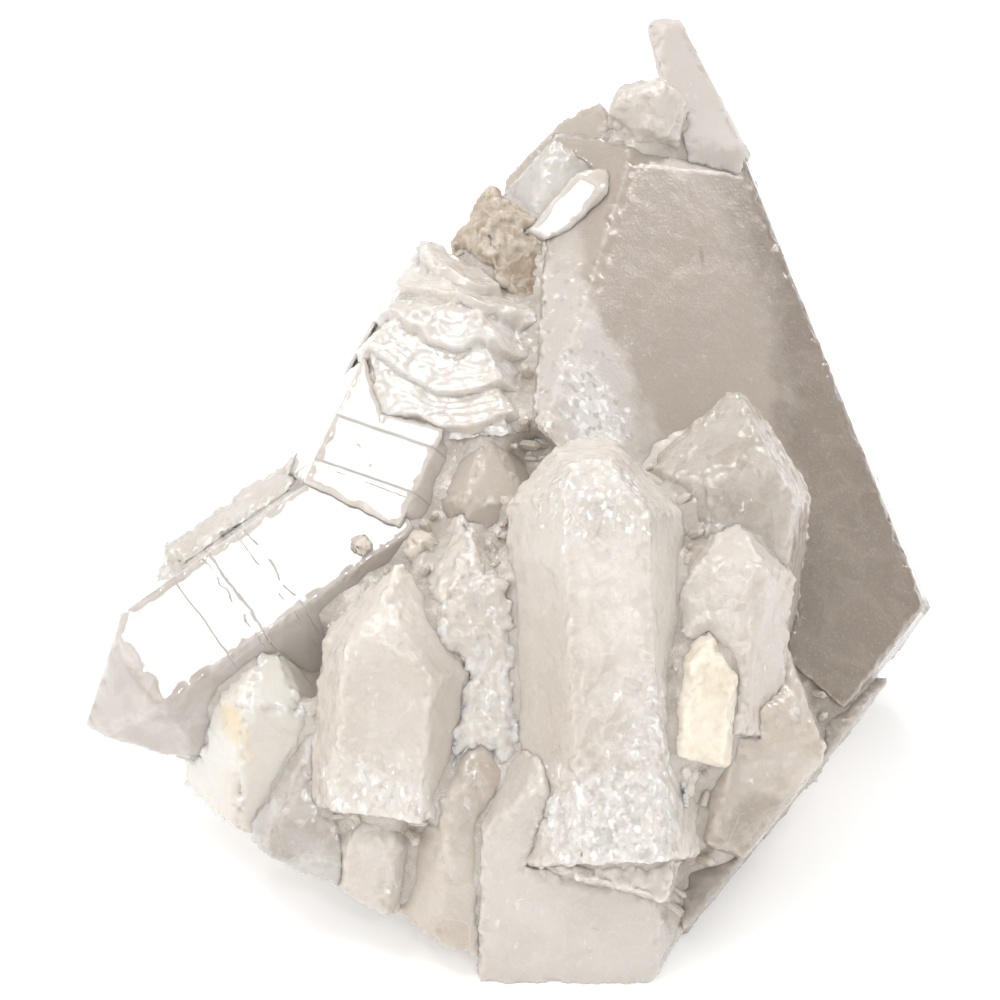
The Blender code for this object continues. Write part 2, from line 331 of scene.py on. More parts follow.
class Tree:
    """Short ways to add nodes to one node tree and to join them."""

    def __init__(self, tree: bpy.types.NodeTree) -> None:
        """Holds the tree and empties it."""
        self.tree = tree
        self.tree.nodes.clear()

    def add(self, kind: str, **settings: object) -> bpy.types.Node:
        """Adds a node.

        Args:
            kind: Blender's name of the node type.
            settings: properties of the node.

        Returns:
            The node.
        """
        node = self.tree.nodes.new(kind)
        for name, value in settings.items():
            setattr(node, name, value)
        return node

    def put(self, socket: bpy.types.NodeSocket, value: object) -> None:
        """Sets a socket to a plain value, or links another socket to it.

        Args:
            socket: the input.
            value: a plain value, or the socket to link.
        """
        if isinstance(value, bpy.types.NodeSocket):
            self.tree.links.new(value, socket)
        elif socket.type == "RGBA" and len(value) == 3:
            socket.default_value = (*value, 1.0)
        else:
            socket.default_value = value

    def fill(self, node: bpy.types.Node, *values: object) -> bpy.types.Node:
        """Puts values in a node's inputs, in their order, and returns the node.

        Args:
            node: the node.
            values: what goes into the inputs, in order.

        Returns:
            The node.
        """
        for socket, value in zip(node.inputs, values):
            self.put(socket, value)
        return node

    def math(self, operation: str, *values: object, clamp: bool = False) -> bpy.types.NodeSocket:
        """Result of one Math node."""
        node = self.add("ShaderNodeMath", operation=operation, use_clamp=clamp)
        return self.fill(node, *values).outputs[0]

    def vector(self, operation: str, *values: object) -> bpy.types.NodeSocket:
        """Result of one Vector Math node, which is a number for a product or a length."""
        node = self.fill(self.add("ShaderNodeVectorMath", operation=operation), *values)
        return node.outputs["Value" if operation in NUMBER_RESULTS else "Vector"]

    def stretch(self, vector: object, factor: object) -> bpy.types.NodeSocket:
        """A vector times a number.

        Args:
            vector: the vector.
            factor: the number.

        Returns:
            The product.
        """
        node = self.fill(self.add("ShaderNodeVectorMath", operation="SCALE"), vector)
        self.put(node.inputs["Scale"], factor)
        return node.outputs["Vector"]

    def join(self, *values: object) -> bpy.types.NodeSocket:
        """A vector made of up to three numbers."""
        return self.fill(self.add("ShaderNodeCombineXYZ"), *values).outputs[0]

    def parts(self, colour: object) -> bpy.types.NodeOutputs:
        """The three parts of a colour."""
        return self.fill(self.add("ShaderNodeSeparateColor"), colour).outputs

    def mix(self, share: object, first: object, second: object) -> bpy.types.NodeSocket:
        """Colour between two colours.

        Args:
            share: 0 for the first to 1 for the second.
            first: what shows at 0.
            second: what shows at 1.

        Returns:
            The colour.
        """
        node = self.add("ShaderNodeMix", data_type="RGBA")
        for index, value in ((0, share), (6, first), (7, second)):
            self.put(node.inputs[index], value)
        return node.outputs[2]

    def blend(self, share: object, first: object, second: object) -> bpy.types.NodeSocket:
        """Number between two numbers.

        Args:
            share: 0 for the first to 1 for the second.
            first: what shows at 0.
            second: what shows at 1.

        Returns:
            The number.
        """
        node = self.add("ShaderNodeMix", data_type="FLOAT")
        for index, value in ((0, share), (2, first), (3, second)):
            self.put(node.inputs[index], value)
        return node.outputs[0]

    def ramp(self, value: object, low: object, high: object) -> bpy.types.NodeSocket:
        """0 below low, 1 above high and a smooth climb between them."""
        node = self.add("ShaderNodeMapRange", interpolation_type="SMOOTHSTEP")
        return self.fill(node, value, low, high).outputs[0]

    def noise(
        self, place: object, scale: object, detail: float, rough: float
    ) -> bpy.types.NodeOutputs:
        """Outputs of a Noise Texture: the number first, and Color.

        Args:
            place: the coordinates.
            scale: how fine it is, per metre.
            detail: layers of noise.
            rough: strength of the finer layers.

        Returns:
            The outputs.
        """
        node = self.add("ShaderNodeTexNoise")
        named = {"Vector": place, "Scale": scale, "Detail": detail, "Roughness": rough}
        for name, value in named.items():
            self.put(node.inputs[name], value)
        return node.outputs

    def cells(self, place: object, scale: object, **settings: object) -> bpy.types.NodeOutputs:
        """Outputs of a Voronoi Texture.

        Args:
            place: the coordinates.
            scale: how fine it is, per metre.
            settings: properties of the node.

        Returns:
            The outputs.
        """
        node = self.add("ShaderNodeTexVoronoi", **settings)
        self.put(node.inputs["Vector"], place)
        self.put(node.inputs["Scale"], scale)
        return node.outputs

    def use(self, group: bpy.types.NodeTree, **values: object) -> bpy.types.NodeOutputs:
        """Places a node group and sets its inputs.

        Args:
            group: the group.
            values: what goes into each input.

        Returns:
            The outputs.
        """
        node = self.add("ShaderNodeGroup", node_tree=group)
        for name, value in values.items():
            self.put(node.inputs[name], value)
        return node.outputs


class Group(Enum):
    """The shader groups that the finishes share."""

    VEILS = "quartz_veils"
    MOTTLE = "quartz_mottle"
    PAINTED_GLINT_SHARDS = "quartz_painted_glint_shards"
    PANES = "quartz_panes"
    CRACK = "quartz_cracks"
    ZONE = "quartz_zone"
    RIMS = "quartz_rims"


Begun = tuple[Tree, bpy.types.NodeOutputs, bpy.types.NodeInputs]


class GroupKit:
    """Builds each shader group once, when it's first taken."""

    def __init__(self) -> None:
        """Starts with no group built."""
        self.made: dict[Group, bpy.types.NodeTree] = {}
        self.ways = {
            Group.VEILS: self._veils,
            Group.MOTTLE: self._mottle,
            Group.PAINTED_GLINT_SHARDS: self._painted_glint_shards,
            Group.PANES: self._panes,
            Group.CRACK: self._crack,
            Group.ZONE: self._zone,
            Group.RIMS: self._rims,
        }

    def take(self, group: Group) -> bpy.types.NodeTree:
        """Gives a group, built if it wasn't yet.

        Args:
            group: which one.

        Returns:
            Its node tree.
        """
        if group not in self.made:
            self.made[group] = self.ways[group]()
        return self.made[group]

    def _start(self, group: Group, inputs: dict[str, object], *outputs: str) -> Begun:
        """Starts a group: its tree, what comes in and what goes out.

        Args:
            group: which group.
            inputs: each input's name and starting value.
            outputs: names of the outputs.

        Returns:
            The tree, what comes in and what goes out.
        """
        made = bpy.data.node_groups.new(group.value, "ShaderNodeTree")
        for title, value in inputs.items():
            kind = "NodeSocketVector" if isinstance(value, tuple) else "NodeSocketFloat"
            socket = made.interface.new_socket(title, in_out="INPUT", socket_type=kind)
            socket.default_value = value
        for title in outputs:
            made.interface.new_socket(title, in_out="OUTPUT", socket_type="NodeSocketFloat")
        tree = Tree(made)
        return tree, tree.add("NodeGroupInput").outputs, tree.add("NodeGroupOutput").inputs

    def _slope(
        self, tree: Tree, place: object, scale: object, cells: bpy.types.NodeOutputs
    ) -> bpy.types.NodeSocket:
        """Height on the leaning facet of a cell.

        Args:
            tree: the node tree.
            place: the coordinates.
            scale: how fine it is, per metre.
            cells: outputs of the Voronoi Texture.

        Returns:
            The height.
        """
        middle = tree.stretch(cells["Position"], scale)
        offset = tree.vector("SUBTRACT", tree.stretch(place, scale), middle)
        lean = tree.vector("SUBTRACT", cells["Color"], (0.5, 0.5, 0.5))
        return tree.vector("DOT_PRODUCT", offset, lean)

    def _veils(self) -> bpy.types.NodeTree:
        """Wisps for thin cloudy veils in a crystal, Cloud for a soft change of depth.

        Returns:
            The group.
        """
        inputs = {"Vector": ORIGIN, "Size": 8.0, "Seed": 0.0}
        tree, source, sink = self._start(Group.VEILS, inputs, "Wisps", "Cloud")
        scale = tree.math("DIVIDE", 1.0 / MM, source["Size"])
        place = tree.vector("ADD", source["Vector"], tree.join(source["Seed"]))
        bend = tree.noise(place, scale, 2.0, 0.5)["Color"]
        bent = tree.vector("ADD", place, tree.stretch(bend, tree.math("DIVIDE", 0.9, scale)))
        ridge = tree.math("SUBTRACT", tree.noise(bent, scale, 4.0, 0.55)[0], 0.5)
        ridge = tree.ramp(tree.math("ABSOLUTE", ridge), 0.0, 0.075)
        tree.put(sink["Wisps"], tree.math("SUBTRACT", 1.0, ridge))
        cloud = tree.noise(bent, tree.math("MULTIPLY", scale, 0.45), 3.0, 0.5)[0]
        tree.put(sink["Cloud"], tree.ramp(cloud, 0.36, 0.64))
        return tree.tree

    def _mottle(self) -> bpy.types.NodeTree:
        """Height for pitting and small leaning facets, Speck for a fine pale dusting.

        Returns:
            The group.
        """
        inputs = {"Vector": ORIGIN, "Size": 1.0, "Lean": 0.5, "Grain": 0.5}
        tree, source, sink = self._start(Group.MOTTLE, inputs, "Height", "Speck")
        place, scale = source["Vector"], tree.math("DIVIDE", 1.0 / MM, source["Size"])
        slope = self._slope(tree, place, scale, tree.cells(place, scale))
        facets = tree.math("MULTIPLY", slope, source["Lean"])
        grain = tree.noise(place, tree.math("MULTIPLY", scale, 2.6), 5.0, 0.62)[0]
        rough = tree.math("MULTIPLY", grain, source["Grain"])
        tree.put(sink["Height"], tree.math("ADD", facets, rough))
        fine = tree.noise(place, tree.math("MULTIPLY", scale, 5.5), 4.0, 0.7)[0]
        tree.put(sink["Speck"], tree.ramp(tree.math("ADD", grain, fine), 1.02, 1.3))
        return tree.tree

    def _painted_glint_shards(self) -> bpy.types.NodeTree:
        """Mask 1 on a shard cell painted white as a glint, Shade 1 on a cell painted as shade,
        Height for the real leaning faces of the cells.

        Level says how crowded they are, from 0 for none to 1.

        Returns:
            The group.
        """
        inputs = {"Vector": ORIGIN, "Size": 0.8, "Level": 0.0}
        tree, source, sink = self._start(Group.PAINTED_GLINT_SHARDS, inputs, "Mask", "Shade", "Height")
        scale = tree.math("DIVIDE", 1.0 / MM, source["Size"])
        warp = tree.noise(source["Vector"], tree.math("MULTIPLY", scale, 0.7), 3.0, 0.6)
        reach = tree.stretch(warp["Color"], tree.math("DIVIDE", 1.5, scale))
        bent = tree.vector("ADD", source["Vector"], reach)
        bent = tree.vector("MULTIPLY", bent, SHARD_STRETCH)
        cells = tree.cells(bent, scale)
        pick = tree.parts(cells["Color"])
        low = tree.math("SUBTRACT", 1.0, source["Level"])
        high = tree.math("ADD", low, 0.10)
        # Brightness of each painted glint.
        painted_glint_strength = tree.blend(pick[1], 0.25, 1.0)
        tree.put(sink["Mask"], tree.math("MULTIPLY", tree.ramp(pick[0], low, high), painted_glint_strength))
        tree.put(sink["Shade"], tree.ramp(pick[2], low, high))
        crowd = tree.math("MULTIPLY", source["Level"], 3.0, clamp=True)
        slope = self._slope(tree, bent, scale, cells)
        tree.put(sink["Height"], tree.math("MULTIPLY", slope, crowd))
        return tree.tree

    def _panes(self) -> bpy.types.NodeTree:
        """Tone for how light a flat inner pane is, Seam 1 between two panes.

        Returns:
            The group.
        """
        inputs = {"Vector": ORIGIN, "Size": 6.0, "Seed": 0.0}
        tree, source, sink = self._start(Group.PANES, inputs, "Tone", "Seam")
        scale = tree.math("DIVIDE", 1.0 / MM, source["Size"])
        place = tree.vector("ADD", source["Vector"], tree.join(0.0, source["Seed"]))
        large = tree.cells(place, tree.math("MULTIPLY", scale, 1.0))
        small = tree.cells(place, tree.math("MULTIPLY", scale, 2.3))
        tones = [tree.parts(cells["Color"])[0] for cells in (large, small)]
        tree.put(sink["Tone"], tree.blend(0.4, *tones))
        far = tree.cells(place, scale, feature="DISTANCE_TO_EDGE")["Distance"]
        line = tree.math("SUBTRACT", 1.0, tree.ramp(far, 0.0, 0.03))
        shown = tree.ramp(tree.noise(place, scale, 3.0, 0.6)[0], 0.48, 0.6)
        tree.put(sink["Seam"], tree.math("MULTIPLY", line, shown))
        return tree.tree

    def _crack(self) -> bpy.types.NodeTree:
        """Mask 1 in one fine crack, which runs square to the axis.

        Returns:
            The group.
        """
        inputs = {"Vector": ORIGIN, "Centre": ORIGIN, "Axis": (0, 0, 1)}
        inputs |= {"Wander": 0.5, "Width": 0.15, "Gaps": 0.4}
        tree, source, sink = self._start(Group.CRACK, inputs, "Mask")
        offset = tree.vector("SUBTRACT", source["Vector"], source["Centre"])
        along = tree.vector("DOT_PRODUCT", offset, source["Axis"])
        along = tree.math("MULTIPLY", along, 1.0 / MM)
        bend = tree.noise(source["Vector"], 0.28 / MM, 4.0, 0.62)[0]
        swing = tree.math("MULTIPLY", tree.math("SUBTRACT", bend, 0.5), source["Wander"])
        level = tree.math("ABSOLUTE", tree.math("ADD", along, swing))
        line = tree.math("SUBTRACT", 1.0, tree.ramp(level, 0.0, source["Width"]))
        broken = tree.noise(source["Vector"], 0.5 / MM, 2.0, 0.5)[0]
        high = tree.math("ADD", source["Gaps"], 0.08)
        shown = tree.ramp(broken, source["Gaps"], high)
        tree.put(sink["Mask"], tree.math("MULTIPLY", line, shown))
        return tree.tree

    def _zone(self) -> bpy.types.NodeTree:
        """Mask 1 in an egg-shaped zone with a ragged rim.

        Its three axes are the half widths, each divided by its own length squared.

        Returns:
            The group.
        """
        axes = ("Along", "Across", "Through")
        inputs = {"Vector": ORIGIN, "Centre": ORIGIN, **dict.fromkeys(axes, ORIGIN)}
        inputs |= {"Ragged": 0.2, "Grain": 3.0, "Soft": 0.1}
        tree, source, sink = self._start(Group.ZONE, inputs, "Mask")
        offset = tree.vector("SUBTRACT", source["Vector"], source["Centre"])
        shares = [tree.vector("DOT_PRODUCT", offset, source[name]) for name in axes]
        reach = tree.vector("LENGTH", tree.join(*shares))
        scale = tree.math("DIVIDE", 1.0 / MM, source["Grain"])
        rim = tree.math("SUBTRACT", tree.noise(source["Vector"], scale, 4.0, 0.6)[0], 0.5)
        wander = tree.math("MULTIPLY", tree.math("MULTIPLY", rim, source["Ragged"]), 2.0)
        low = tree.math("SUBTRACT", 1.0, source["Soft"])
        high = tree.math("ADD", 1.0, source["Soft"])
        level = tree.ramp(tree.math("ADD", reach, wander), low, high)
        tree.put(sink["Mask"], tree.math("SUBTRACT", 1.0, level))
        return tree.tree

    def _rims(self) -> bpy.types.NodeTree:
        """Mask 1 where a sharp edge is bruised.

        Returns:
            The group.
        """
        tree, source, sink = self._start(Group.RIMS, {"Vector": ORIGIN, "Reach": 0.5}, "Mask")
        edge = tree.add("ShaderNodeAttribute", attribute_name=EDGE_ATTRIBUTE).outputs["Fac"]
        patchy = tree.noise(source["Vector"], 0.45 / MM, 4.0, 0.65)[0]
        level = tree.math("ADD", edge, tree.math("SUBTRACT", patchy, 0.5))
        low = tree.math("SUBTRACT", 1.0, source["Reach"])
        tree.put(sink["Mask"], tree.ramp(level, low, 1.15))
        return tree.tree


GROUPS = GroupKit()


# ---------------------------------------------------------------- finishes


@dataclass(frozen=True)
class Zone:
    """A patch of a crystal with its own colour and gloss.

    The centre is given as shares of the node's box. Along and across are half widths
    in millimetres, and through is how far it goes in.
    """

    centre: Triple
    along: Triple
    across: Triple
    through: float
    colour: Triple
    strength: float = 0.8
    rough: float | None = None
    ragged: float = 0.25
    grain: float = 3.0
    soft: float = 0.12
    # Shard crowding in the zone: more cells painted as glints and as shade, and more real
    # leaning bump.
    painted_glint_shards: float = 0.0


@dataclass(frozen=True)
class CrackLine:
    """A fine crack across a crystal. Place is millimetres from the middle, along the axis."""

    axis: Triple
    place: float
    wander: float = 0.4
    width: float = 0.14
    gaps: float = 0.3


class Slot(Enum):
    """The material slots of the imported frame."""

    MILKY = "quartz_milky"
    CLEAR = "quartz_clear"
    SMOKY = "quartz_smoky"
    CREAM = "quartz_cream"
    STAINED = "quartz_stained"
    ROUGH = "quartz_rough"


@dataclass(frozen=True)
class Finish:
    """One finish of quartz, with linear colours and sizes in millimetres."""

    name: str
    slot: Slot
    colour: Triple
    deep: Triple
    veil: Triple
    rim: Triple
    veil_size: float = 9.0
    veil_share: float = 0.5
    pane_size: float = 6.0
    pane_share: float = 0.3
    seam_share: float = 0.3
    rim_share: float = 0.6
    rough: tuple[float, float] = (0.08, 0.3)
    cell: float = 1.2
    lean: float = 0.5
    grain: float = 0.5
    bump: float = 0.4
    # Shard crowding: cells painted near-white as glints and darker as shade, with a real leaning
    # bump.
    painted_glint_shards: float = 0.10
    shard_size: float = 0.7
    speck: float = 0.2
    scatter: float = 0.85
    scatter_depth: float = 4.0
    clear: float = 0.2
    gleam: float = 0.6

    def make(
        self, node: str, zones: tuple[Zone, ...], cracks: tuple[CrackLine, ...], tint: float
    ) -> bpy.types.Material:
        """Builds the finish for one crystal.

        Args:
            node: the crystal's node, which gives the places of its zones and its pattern.
            zones: patches with a colour of their own.
            cracks: fine cracks across it.
            tint: how much brighter or darker this crystal is.

        Returns:
            The material.
        """
        made = bpy.data.materials.new(f"{self.name}_{node}")
        made.use_nodes = True
        tree = Tree(made.node_tree)
        place = tree.add("ShaderNodeTexCoord").outputs["Object"]
        seed = sum(ord(letter) for letter in node) * SEED_STEP
        sizes = {"Vector": place, "Seed": seed}
        veils = tree.use(GROUPS.take(Group.VEILS), Size=self.veil_size, **sizes)
        panes = tree.use(GROUPS.take(Group.PANES), Size=self.pane_size, **sizes)
        pitting = {"Size": self.cell, "Lean": self.lean, "Grain": self.grain}
        mottle = tree.use(GROUPS.take(Group.MOTTLE), Vector=place, **pitting)
        rims = tree.use(GROUPS.take(Group.RIMS), Vector=place, Reach=0.5)
        patches = tree.noise(place, PATCH_SCALE, 3.0, 0.5)[0]
        crowd = tree.math("MULTIPLY", tree.ramp(patches, *PATCH_RAMP), self.painted_glint_shards)
        light, deep = self._shade(self.colour, tint), self._shade(self.deep, tint)
        colour = tree.mix(veils["Cloud"], light, deep)
        gloss = tree.blend(veils["Cloud"], *self.rough)
        wisps, tones = (veils["Wisps"], self.veil_share), (panes["Tone"], self.pane_share)
        colour = self._lay(tree, colour, self.veil, wisps, tones)
        for zone in zones:
            mask = self._zone_mask(tree, place, node, zone)
            share = tree.math("MULTIPLY", mask, zone.strength)
            colour = tree.mix(share, colour, self._shade(zone.colour, tint))
            if zone.rough is not None:
                gloss = tree.blend(share, gloss, zone.rough)
            crowd = tree.blend(mask, crowd, zone.painted_glint_shards)
        shard = {"Vector": place, "Size": self.shard_size, "Level": crowd}
        painted_glint_shards = tree.use(GROUPS.take(Group.PAINTED_GLINT_SHARDS), **shard)
        seams, specks = (panes["Seam"], self.seam_share), (mottle["Speck"], self.speck)
        edges = (rims["Mask"], self.rim_share)
        colour = self._lay(tree, colour, self.rim, seams, specks, edges)
        # Painted shade: the deep colour, darkened, laid on the shard cells that Shade marks.
        dark = self._shade(self.deep, SHADE_TINT * tint)
        colour = self._lay(tree, colour, dark, (painted_glint_shards["Shade"], SHADE_SHARE))
        # Painted glints: near-white colour and low roughness laid on the shard cells that Mask
        # marks.
        painted_glints = tree.math("MULTIPLY", painted_glint_shards["Mask"], PAINTED_GLINT_SHARE)
        colour = tree.mix(painted_glints, colour, PAINTED_GLINT)
        gloss = tree.blend(painted_glints, gloss, GLINT_ROUGH)
        height = tree.math("MULTIPLY", mottle["Height"], self.cell * CELL_LIFT)
        lift = tree.math("MULTIPLY", painted_glint_shards["Height"], self.shard_size * SHARD_LIFT)
        height = tree.math("ADD", height, lift)
        for crack in cracks:
            mask = self._crack_mask(tree, place, node, crack)
            height = tree.math("SUBTRACT", height, tree.math("MULTIPLY", mask, CRACK_DEPTH))
            colour = self._lay(tree, colour, CRACK, (mask, CRACK_SHARE))
        bump = tree.add("ShaderNodeBump")
        bump.inputs["Strength"].default_value = self.bump
        bump.inputs["Distance"].default_value = MM
        tree.put(bump.inputs["Height"], height)
        shader = tree.add("ShaderNodeBsdfPrincipled", subsurface_method="RANDOM_WALK")
        tree.put(shader.inputs["Base Color"], colour)
        tree.put(shader.inputs["Roughness"], gloss)
        tree.put(shader.inputs["Normal"], bump.outputs[0])
        shader.inputs["Specular IOR Level"].default_value = self.gleam
        shader.inputs["IOR"].default_value = QUARTZ_IOR
        shader.inputs["Transmission Weight"].default_value = self.clear
        shader.inputs["Subsurface Weight"].default_value = self.scatter
        shader.inputs["Subsurface Radius"].default_value = SCATTER_TINT
        shader.inputs["Subsurface Scale"].default_value = self.scatter_depth * MM
        output = tree.add("ShaderNodeOutputMaterial")
        tree.put(output.inputs["Surface"], shader.outputs[0])
        return made

    def _shade(self, colour: Triple, tint: float) -> Triple:
        """A colour made brighter or darker by the tint."""
        return tuple(min(BRIGHTEST, tint * part) for part in colour)

    def _lay(
        self, tree: Tree, under: object, over: Triple, *layers: tuple[object, float]
    ) -> bpy.types.NodeSocket:
        """Lays one colour over another, once for each pair of a mask and its share.

        Args:
            tree: the node tree.
            under: colour below.
            over: colour laid on.
            layers: pairs of a mask and its share.

        Returns:
            The colour on top.
        """
        for mask, share in layers:
            under = tree.mix(tree.math("MULTIPLY", mask, share), under, over)
        return under

    def _crack_mask(
        self, tree: Tree, place: bpy.types.NodeSocket, node: str, crack: CrackLine
    ) -> bpy.types.NodeSocket:
        """Mask of one crack of one node.

        Args:
            tree: the node tree.
            place: the coordinates.
            node: name of the crystal's node.
            crack: the crack.

        Returns:
            The mask.
        """
        low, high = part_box(node)
        axis = Vector(crack.axis).normalized()
        sizes = {"Wander": crack.wander, "Width": crack.width, "Gaps": crack.gaps}
        centre = (low + high) / 2 + axis * crack.place * MM
        group = GROUPS.take(Group.CRACK)
        return tree.use(group, Vector=place, Centre=centre, Axis=axis, **sizes)[0]

    def _zone_mask(
        self, tree: Tree, place: bpy.types.NodeSocket, node: str, zone: Zone
    ) -> bpy.types.NodeSocket:
        """Mask of one zone of one node.

        Args:
            tree: the node tree.
            place: the coordinates.
            node: name of the crystal's node.
            zone: the zone.

        Returns:
            The mask.
        """
        low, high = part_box(node)
        centre = Vector(a + (b - a) * s for a, b, s in zip(low, high, zone.centre))
        along, across = Vector(zone.along) * MM, Vector(zone.across) * MM
        through = along.cross(across).normalized() * zone.through * MM
        sizes = {"Ragged": zone.ragged, "Grain": zone.grain, "Soft": zone.soft}
        for name, axis in (("Along", along), ("Across", across), ("Through", through)):
            sizes[name] = axis / axis.length_squared
        return tree.use(GROUPS.take(Group.ZONE), Vector=place, Centre=centre, **sizes)["Mask"]


MILKY = Finish(
    "milky_quartz", Slot.MILKY, colour=(0.70, 0.645, 0.585), deep=(0.62, 0.555, 0.49),
    veil=(0.72, 0.685, 0.645), rim=(0.80, 0.775, 0.745), veil_size=11.0, veil_share=0.2,
    rim_share=0.15, rough=(0.07, 0.22), lean=1.7, grain=0.5, bump=0.8, painted_glint_shards=0.10, speck=0.3,
    scatter_depth=0.9, clear=0.16, gleam=0.9, pane_share=0.2, seam_share=0.12, cell=1.5,
)
CLEAR = Finish(
    "clear_quartz", Slot.CLEAR, colour=(0.82, 0.77, 0.71), deep=(0.71, 0.635, 0.555),
    veil=(0.80, 0.775, 0.745), rim=(0.86, 0.85, 0.83), veil_size=8.0, veil_share=0.3,
    rim_share=0.12, rough=(0.03, 0.13), bump=0.7, lean=1.6, grain=0.4, painted_glint_shards=0.16, speck=0.25,
    scatter_depth=1.0, clear=0.33, gleam=1.0, pane_share=0.55, seam_share=0.25, pane_size=5.0,
    cell=1.5,
)
BRIGHT = replace(
    CLEAR, name="bright_quartz", colour=(0.54, 0.49, 0.44), deep=(0.49, 0.43, 0.38),
    veil_share=0.15, rough=(0.03, 0.06), bump=0.3, lean=0.05, grain=0.12, painted_glint_shards=0.0,
    speck=0.03, gleam=1.0, scatter_depth=1.4, rim_share=0.06, pane_share=0.25, seam_share=0.1,
    pane_size=7.0, clear=0.1,
)
DUSKY = replace(
    CLEAR, name="dusky_quartz", colour=(0.675, 0.587, 0.497), deep=(0.585, 0.50, 0.415),
    veil=(0.74, 0.69, 0.635), clear=0.28,
)
SMOKY = Finish(
    "smoky_quartz", Slot.SMOKY, colour=(0.50, 0.44, 0.385), deep=(0.45, 0.39, 0.33),
    veil=(0.58, 0.53, 0.47), rim=(0.80, 0.78, 0.75), veil_size=16.0, veil_share=0.12,
    rim_share=0.15, rough=(0.08, 0.2), bump=0.5, lean=0.5, grain=0.6, painted_glint_shards=0.08, speck=0.16,
    scatter_depth=1.5, clear=0.2, gleam=0.6, pane_share=0.4, seam_share=0.08, pane_size=7.0,
)
MAIN_SMOKY = replace(
    SMOKY, name="main_smoky_quartz", colour=(0.27, 0.218, 0.17), deep=(0.235, 0.187, 0.145),
    veil=(0.42, 0.365, 0.31), veil_share=0.22, rough=(0.08, 0.2), painted_glint_shards=0.03, veil_size=9.0,
    rim_share=0.25, pane_share=0.22, seam_share=0.0, pane_size=8.0, scatter_depth=2.2, lean=0.5,
    clear=0.2,
)
DULL_SMOKY = replace(
    SMOKY, name="dull_smoky_quartz", rough=(0.4, 0.5), gleam=0.3, colour=(0.62, 0.575, 0.54),
    deep=(0.58, 0.53, 0.49),
)
CREAM = Finish(
    "cream_quartz", Slot.CREAM, colour=(0.70, 0.63, 0.52), deep=(0.66, 0.58, 0.465),
    veil=(0.86, 0.81, 0.73), rim=(0.88, 0.85, 0.79), veil_share=0.2, rim_share=0.15,
    rough=(0.2, 0.35), lean=1.3, grain=0.6, bump=0.9, painted_glint_shards=0.1, scatter_depth=1.2, clear=0.0,
    gleam=0.4,
)
STAINED = Finish(
    "stained_quartz", Slot.STAINED, colour=(0.40, 0.31, 0.215), deep=(0.31, 0.225, 0.14),
    veil=(0.68, 0.62, 0.54), rim=(0.84, 0.80, 0.75), veil_size=5.0, veil_share=0.4,
    rim_share=0.2, rough=(0.12, 0.3), lean=0.9, grain=1.0, bump=0.9, painted_glint_shards=0.2,
    scatter_depth=1.0, clear=0.1, gleam=0.8,
)
BUD = replace(
    STAINED, name="bud_quartz", colour=(0.60, 0.535, 0.46), deep=(0.52, 0.45, 0.375),
    painted_glint_shards=0.15,
)
ROUGH = Finish(
    "rough_quartz", Slot.ROUGH, colour=(0.66, 0.60, 0.54), deep=(0.56, 0.50, 0.44),
    veil=(0.78, 0.74, 0.70), rim=(0.82, 0.80, 0.76), veil_size=7.0, veil_share=0.3,
    rim_share=0.15, rough=(0.12, 0.35), cell=1.6, lean=1.4, grain=0.6, bump=0.9, painted_glint_shards=0.15,
    scatter_depth=1.0, clear=0.15, gleam=0.8,
)


GROWN = replace(
    CLEAR, name="overgrown_quartz", slot=Slot.ROUGH, colour=(0.60, 0.53, 0.455),
    deep=(0.47, 0.40, 0.335), veil_size=5.0, rough=(0.06, 0.25), bump=0.9, lean=1.6, grain=0.5,
    painted_glint_shards=0.2, shard_size=0.6, clear=0.25, scatter_depth=0.9, rim_share=0.1, pane_size=2.2,
    pane_share=0.5, seam_share=0.4, gleam=0.9, speck=0.35, veil=(0.70, 0.655, 0.60),
)


# ---------------------------------------------------------------- crystals


Keep = tuple[Vector, Vector]


def kept_in(place: Vector, keep: Keep) -> list[float]:
    """A place moved into the cluster's box where it was outside.

    Args:
        place: the place.
        keep: lowest and highest corner of the box.

    Returns:
        The three numbers of the place.
    """
    return [min(max(c, a), b) for c, a, b in zip(place, keep[0], keep[1])]


def linked(name: str, shape: bmesh.types.BMesh, smooth: bool = True) -> bpy.types.Object:
    """Makes an object of a shape, puts it in the scene and frees the shape.

    Args:
        name: name of the object and of its mesh.
        shape: the shape.
        smooth: whether its faces are shaded smooth.

    Returns:
        The object.
    """
    mesh = bpy.data.meshes.new(name)
    shape.to_mesh(mesh)
    shape.free()
    mesh.polygons.foreach_set("use_smooth", [smooth] * len(mesh.polygons))
    piece = bpy.data.objects.new(name, mesh)
    bpy.context.scene.collection.objects.link(piece)
    return piece


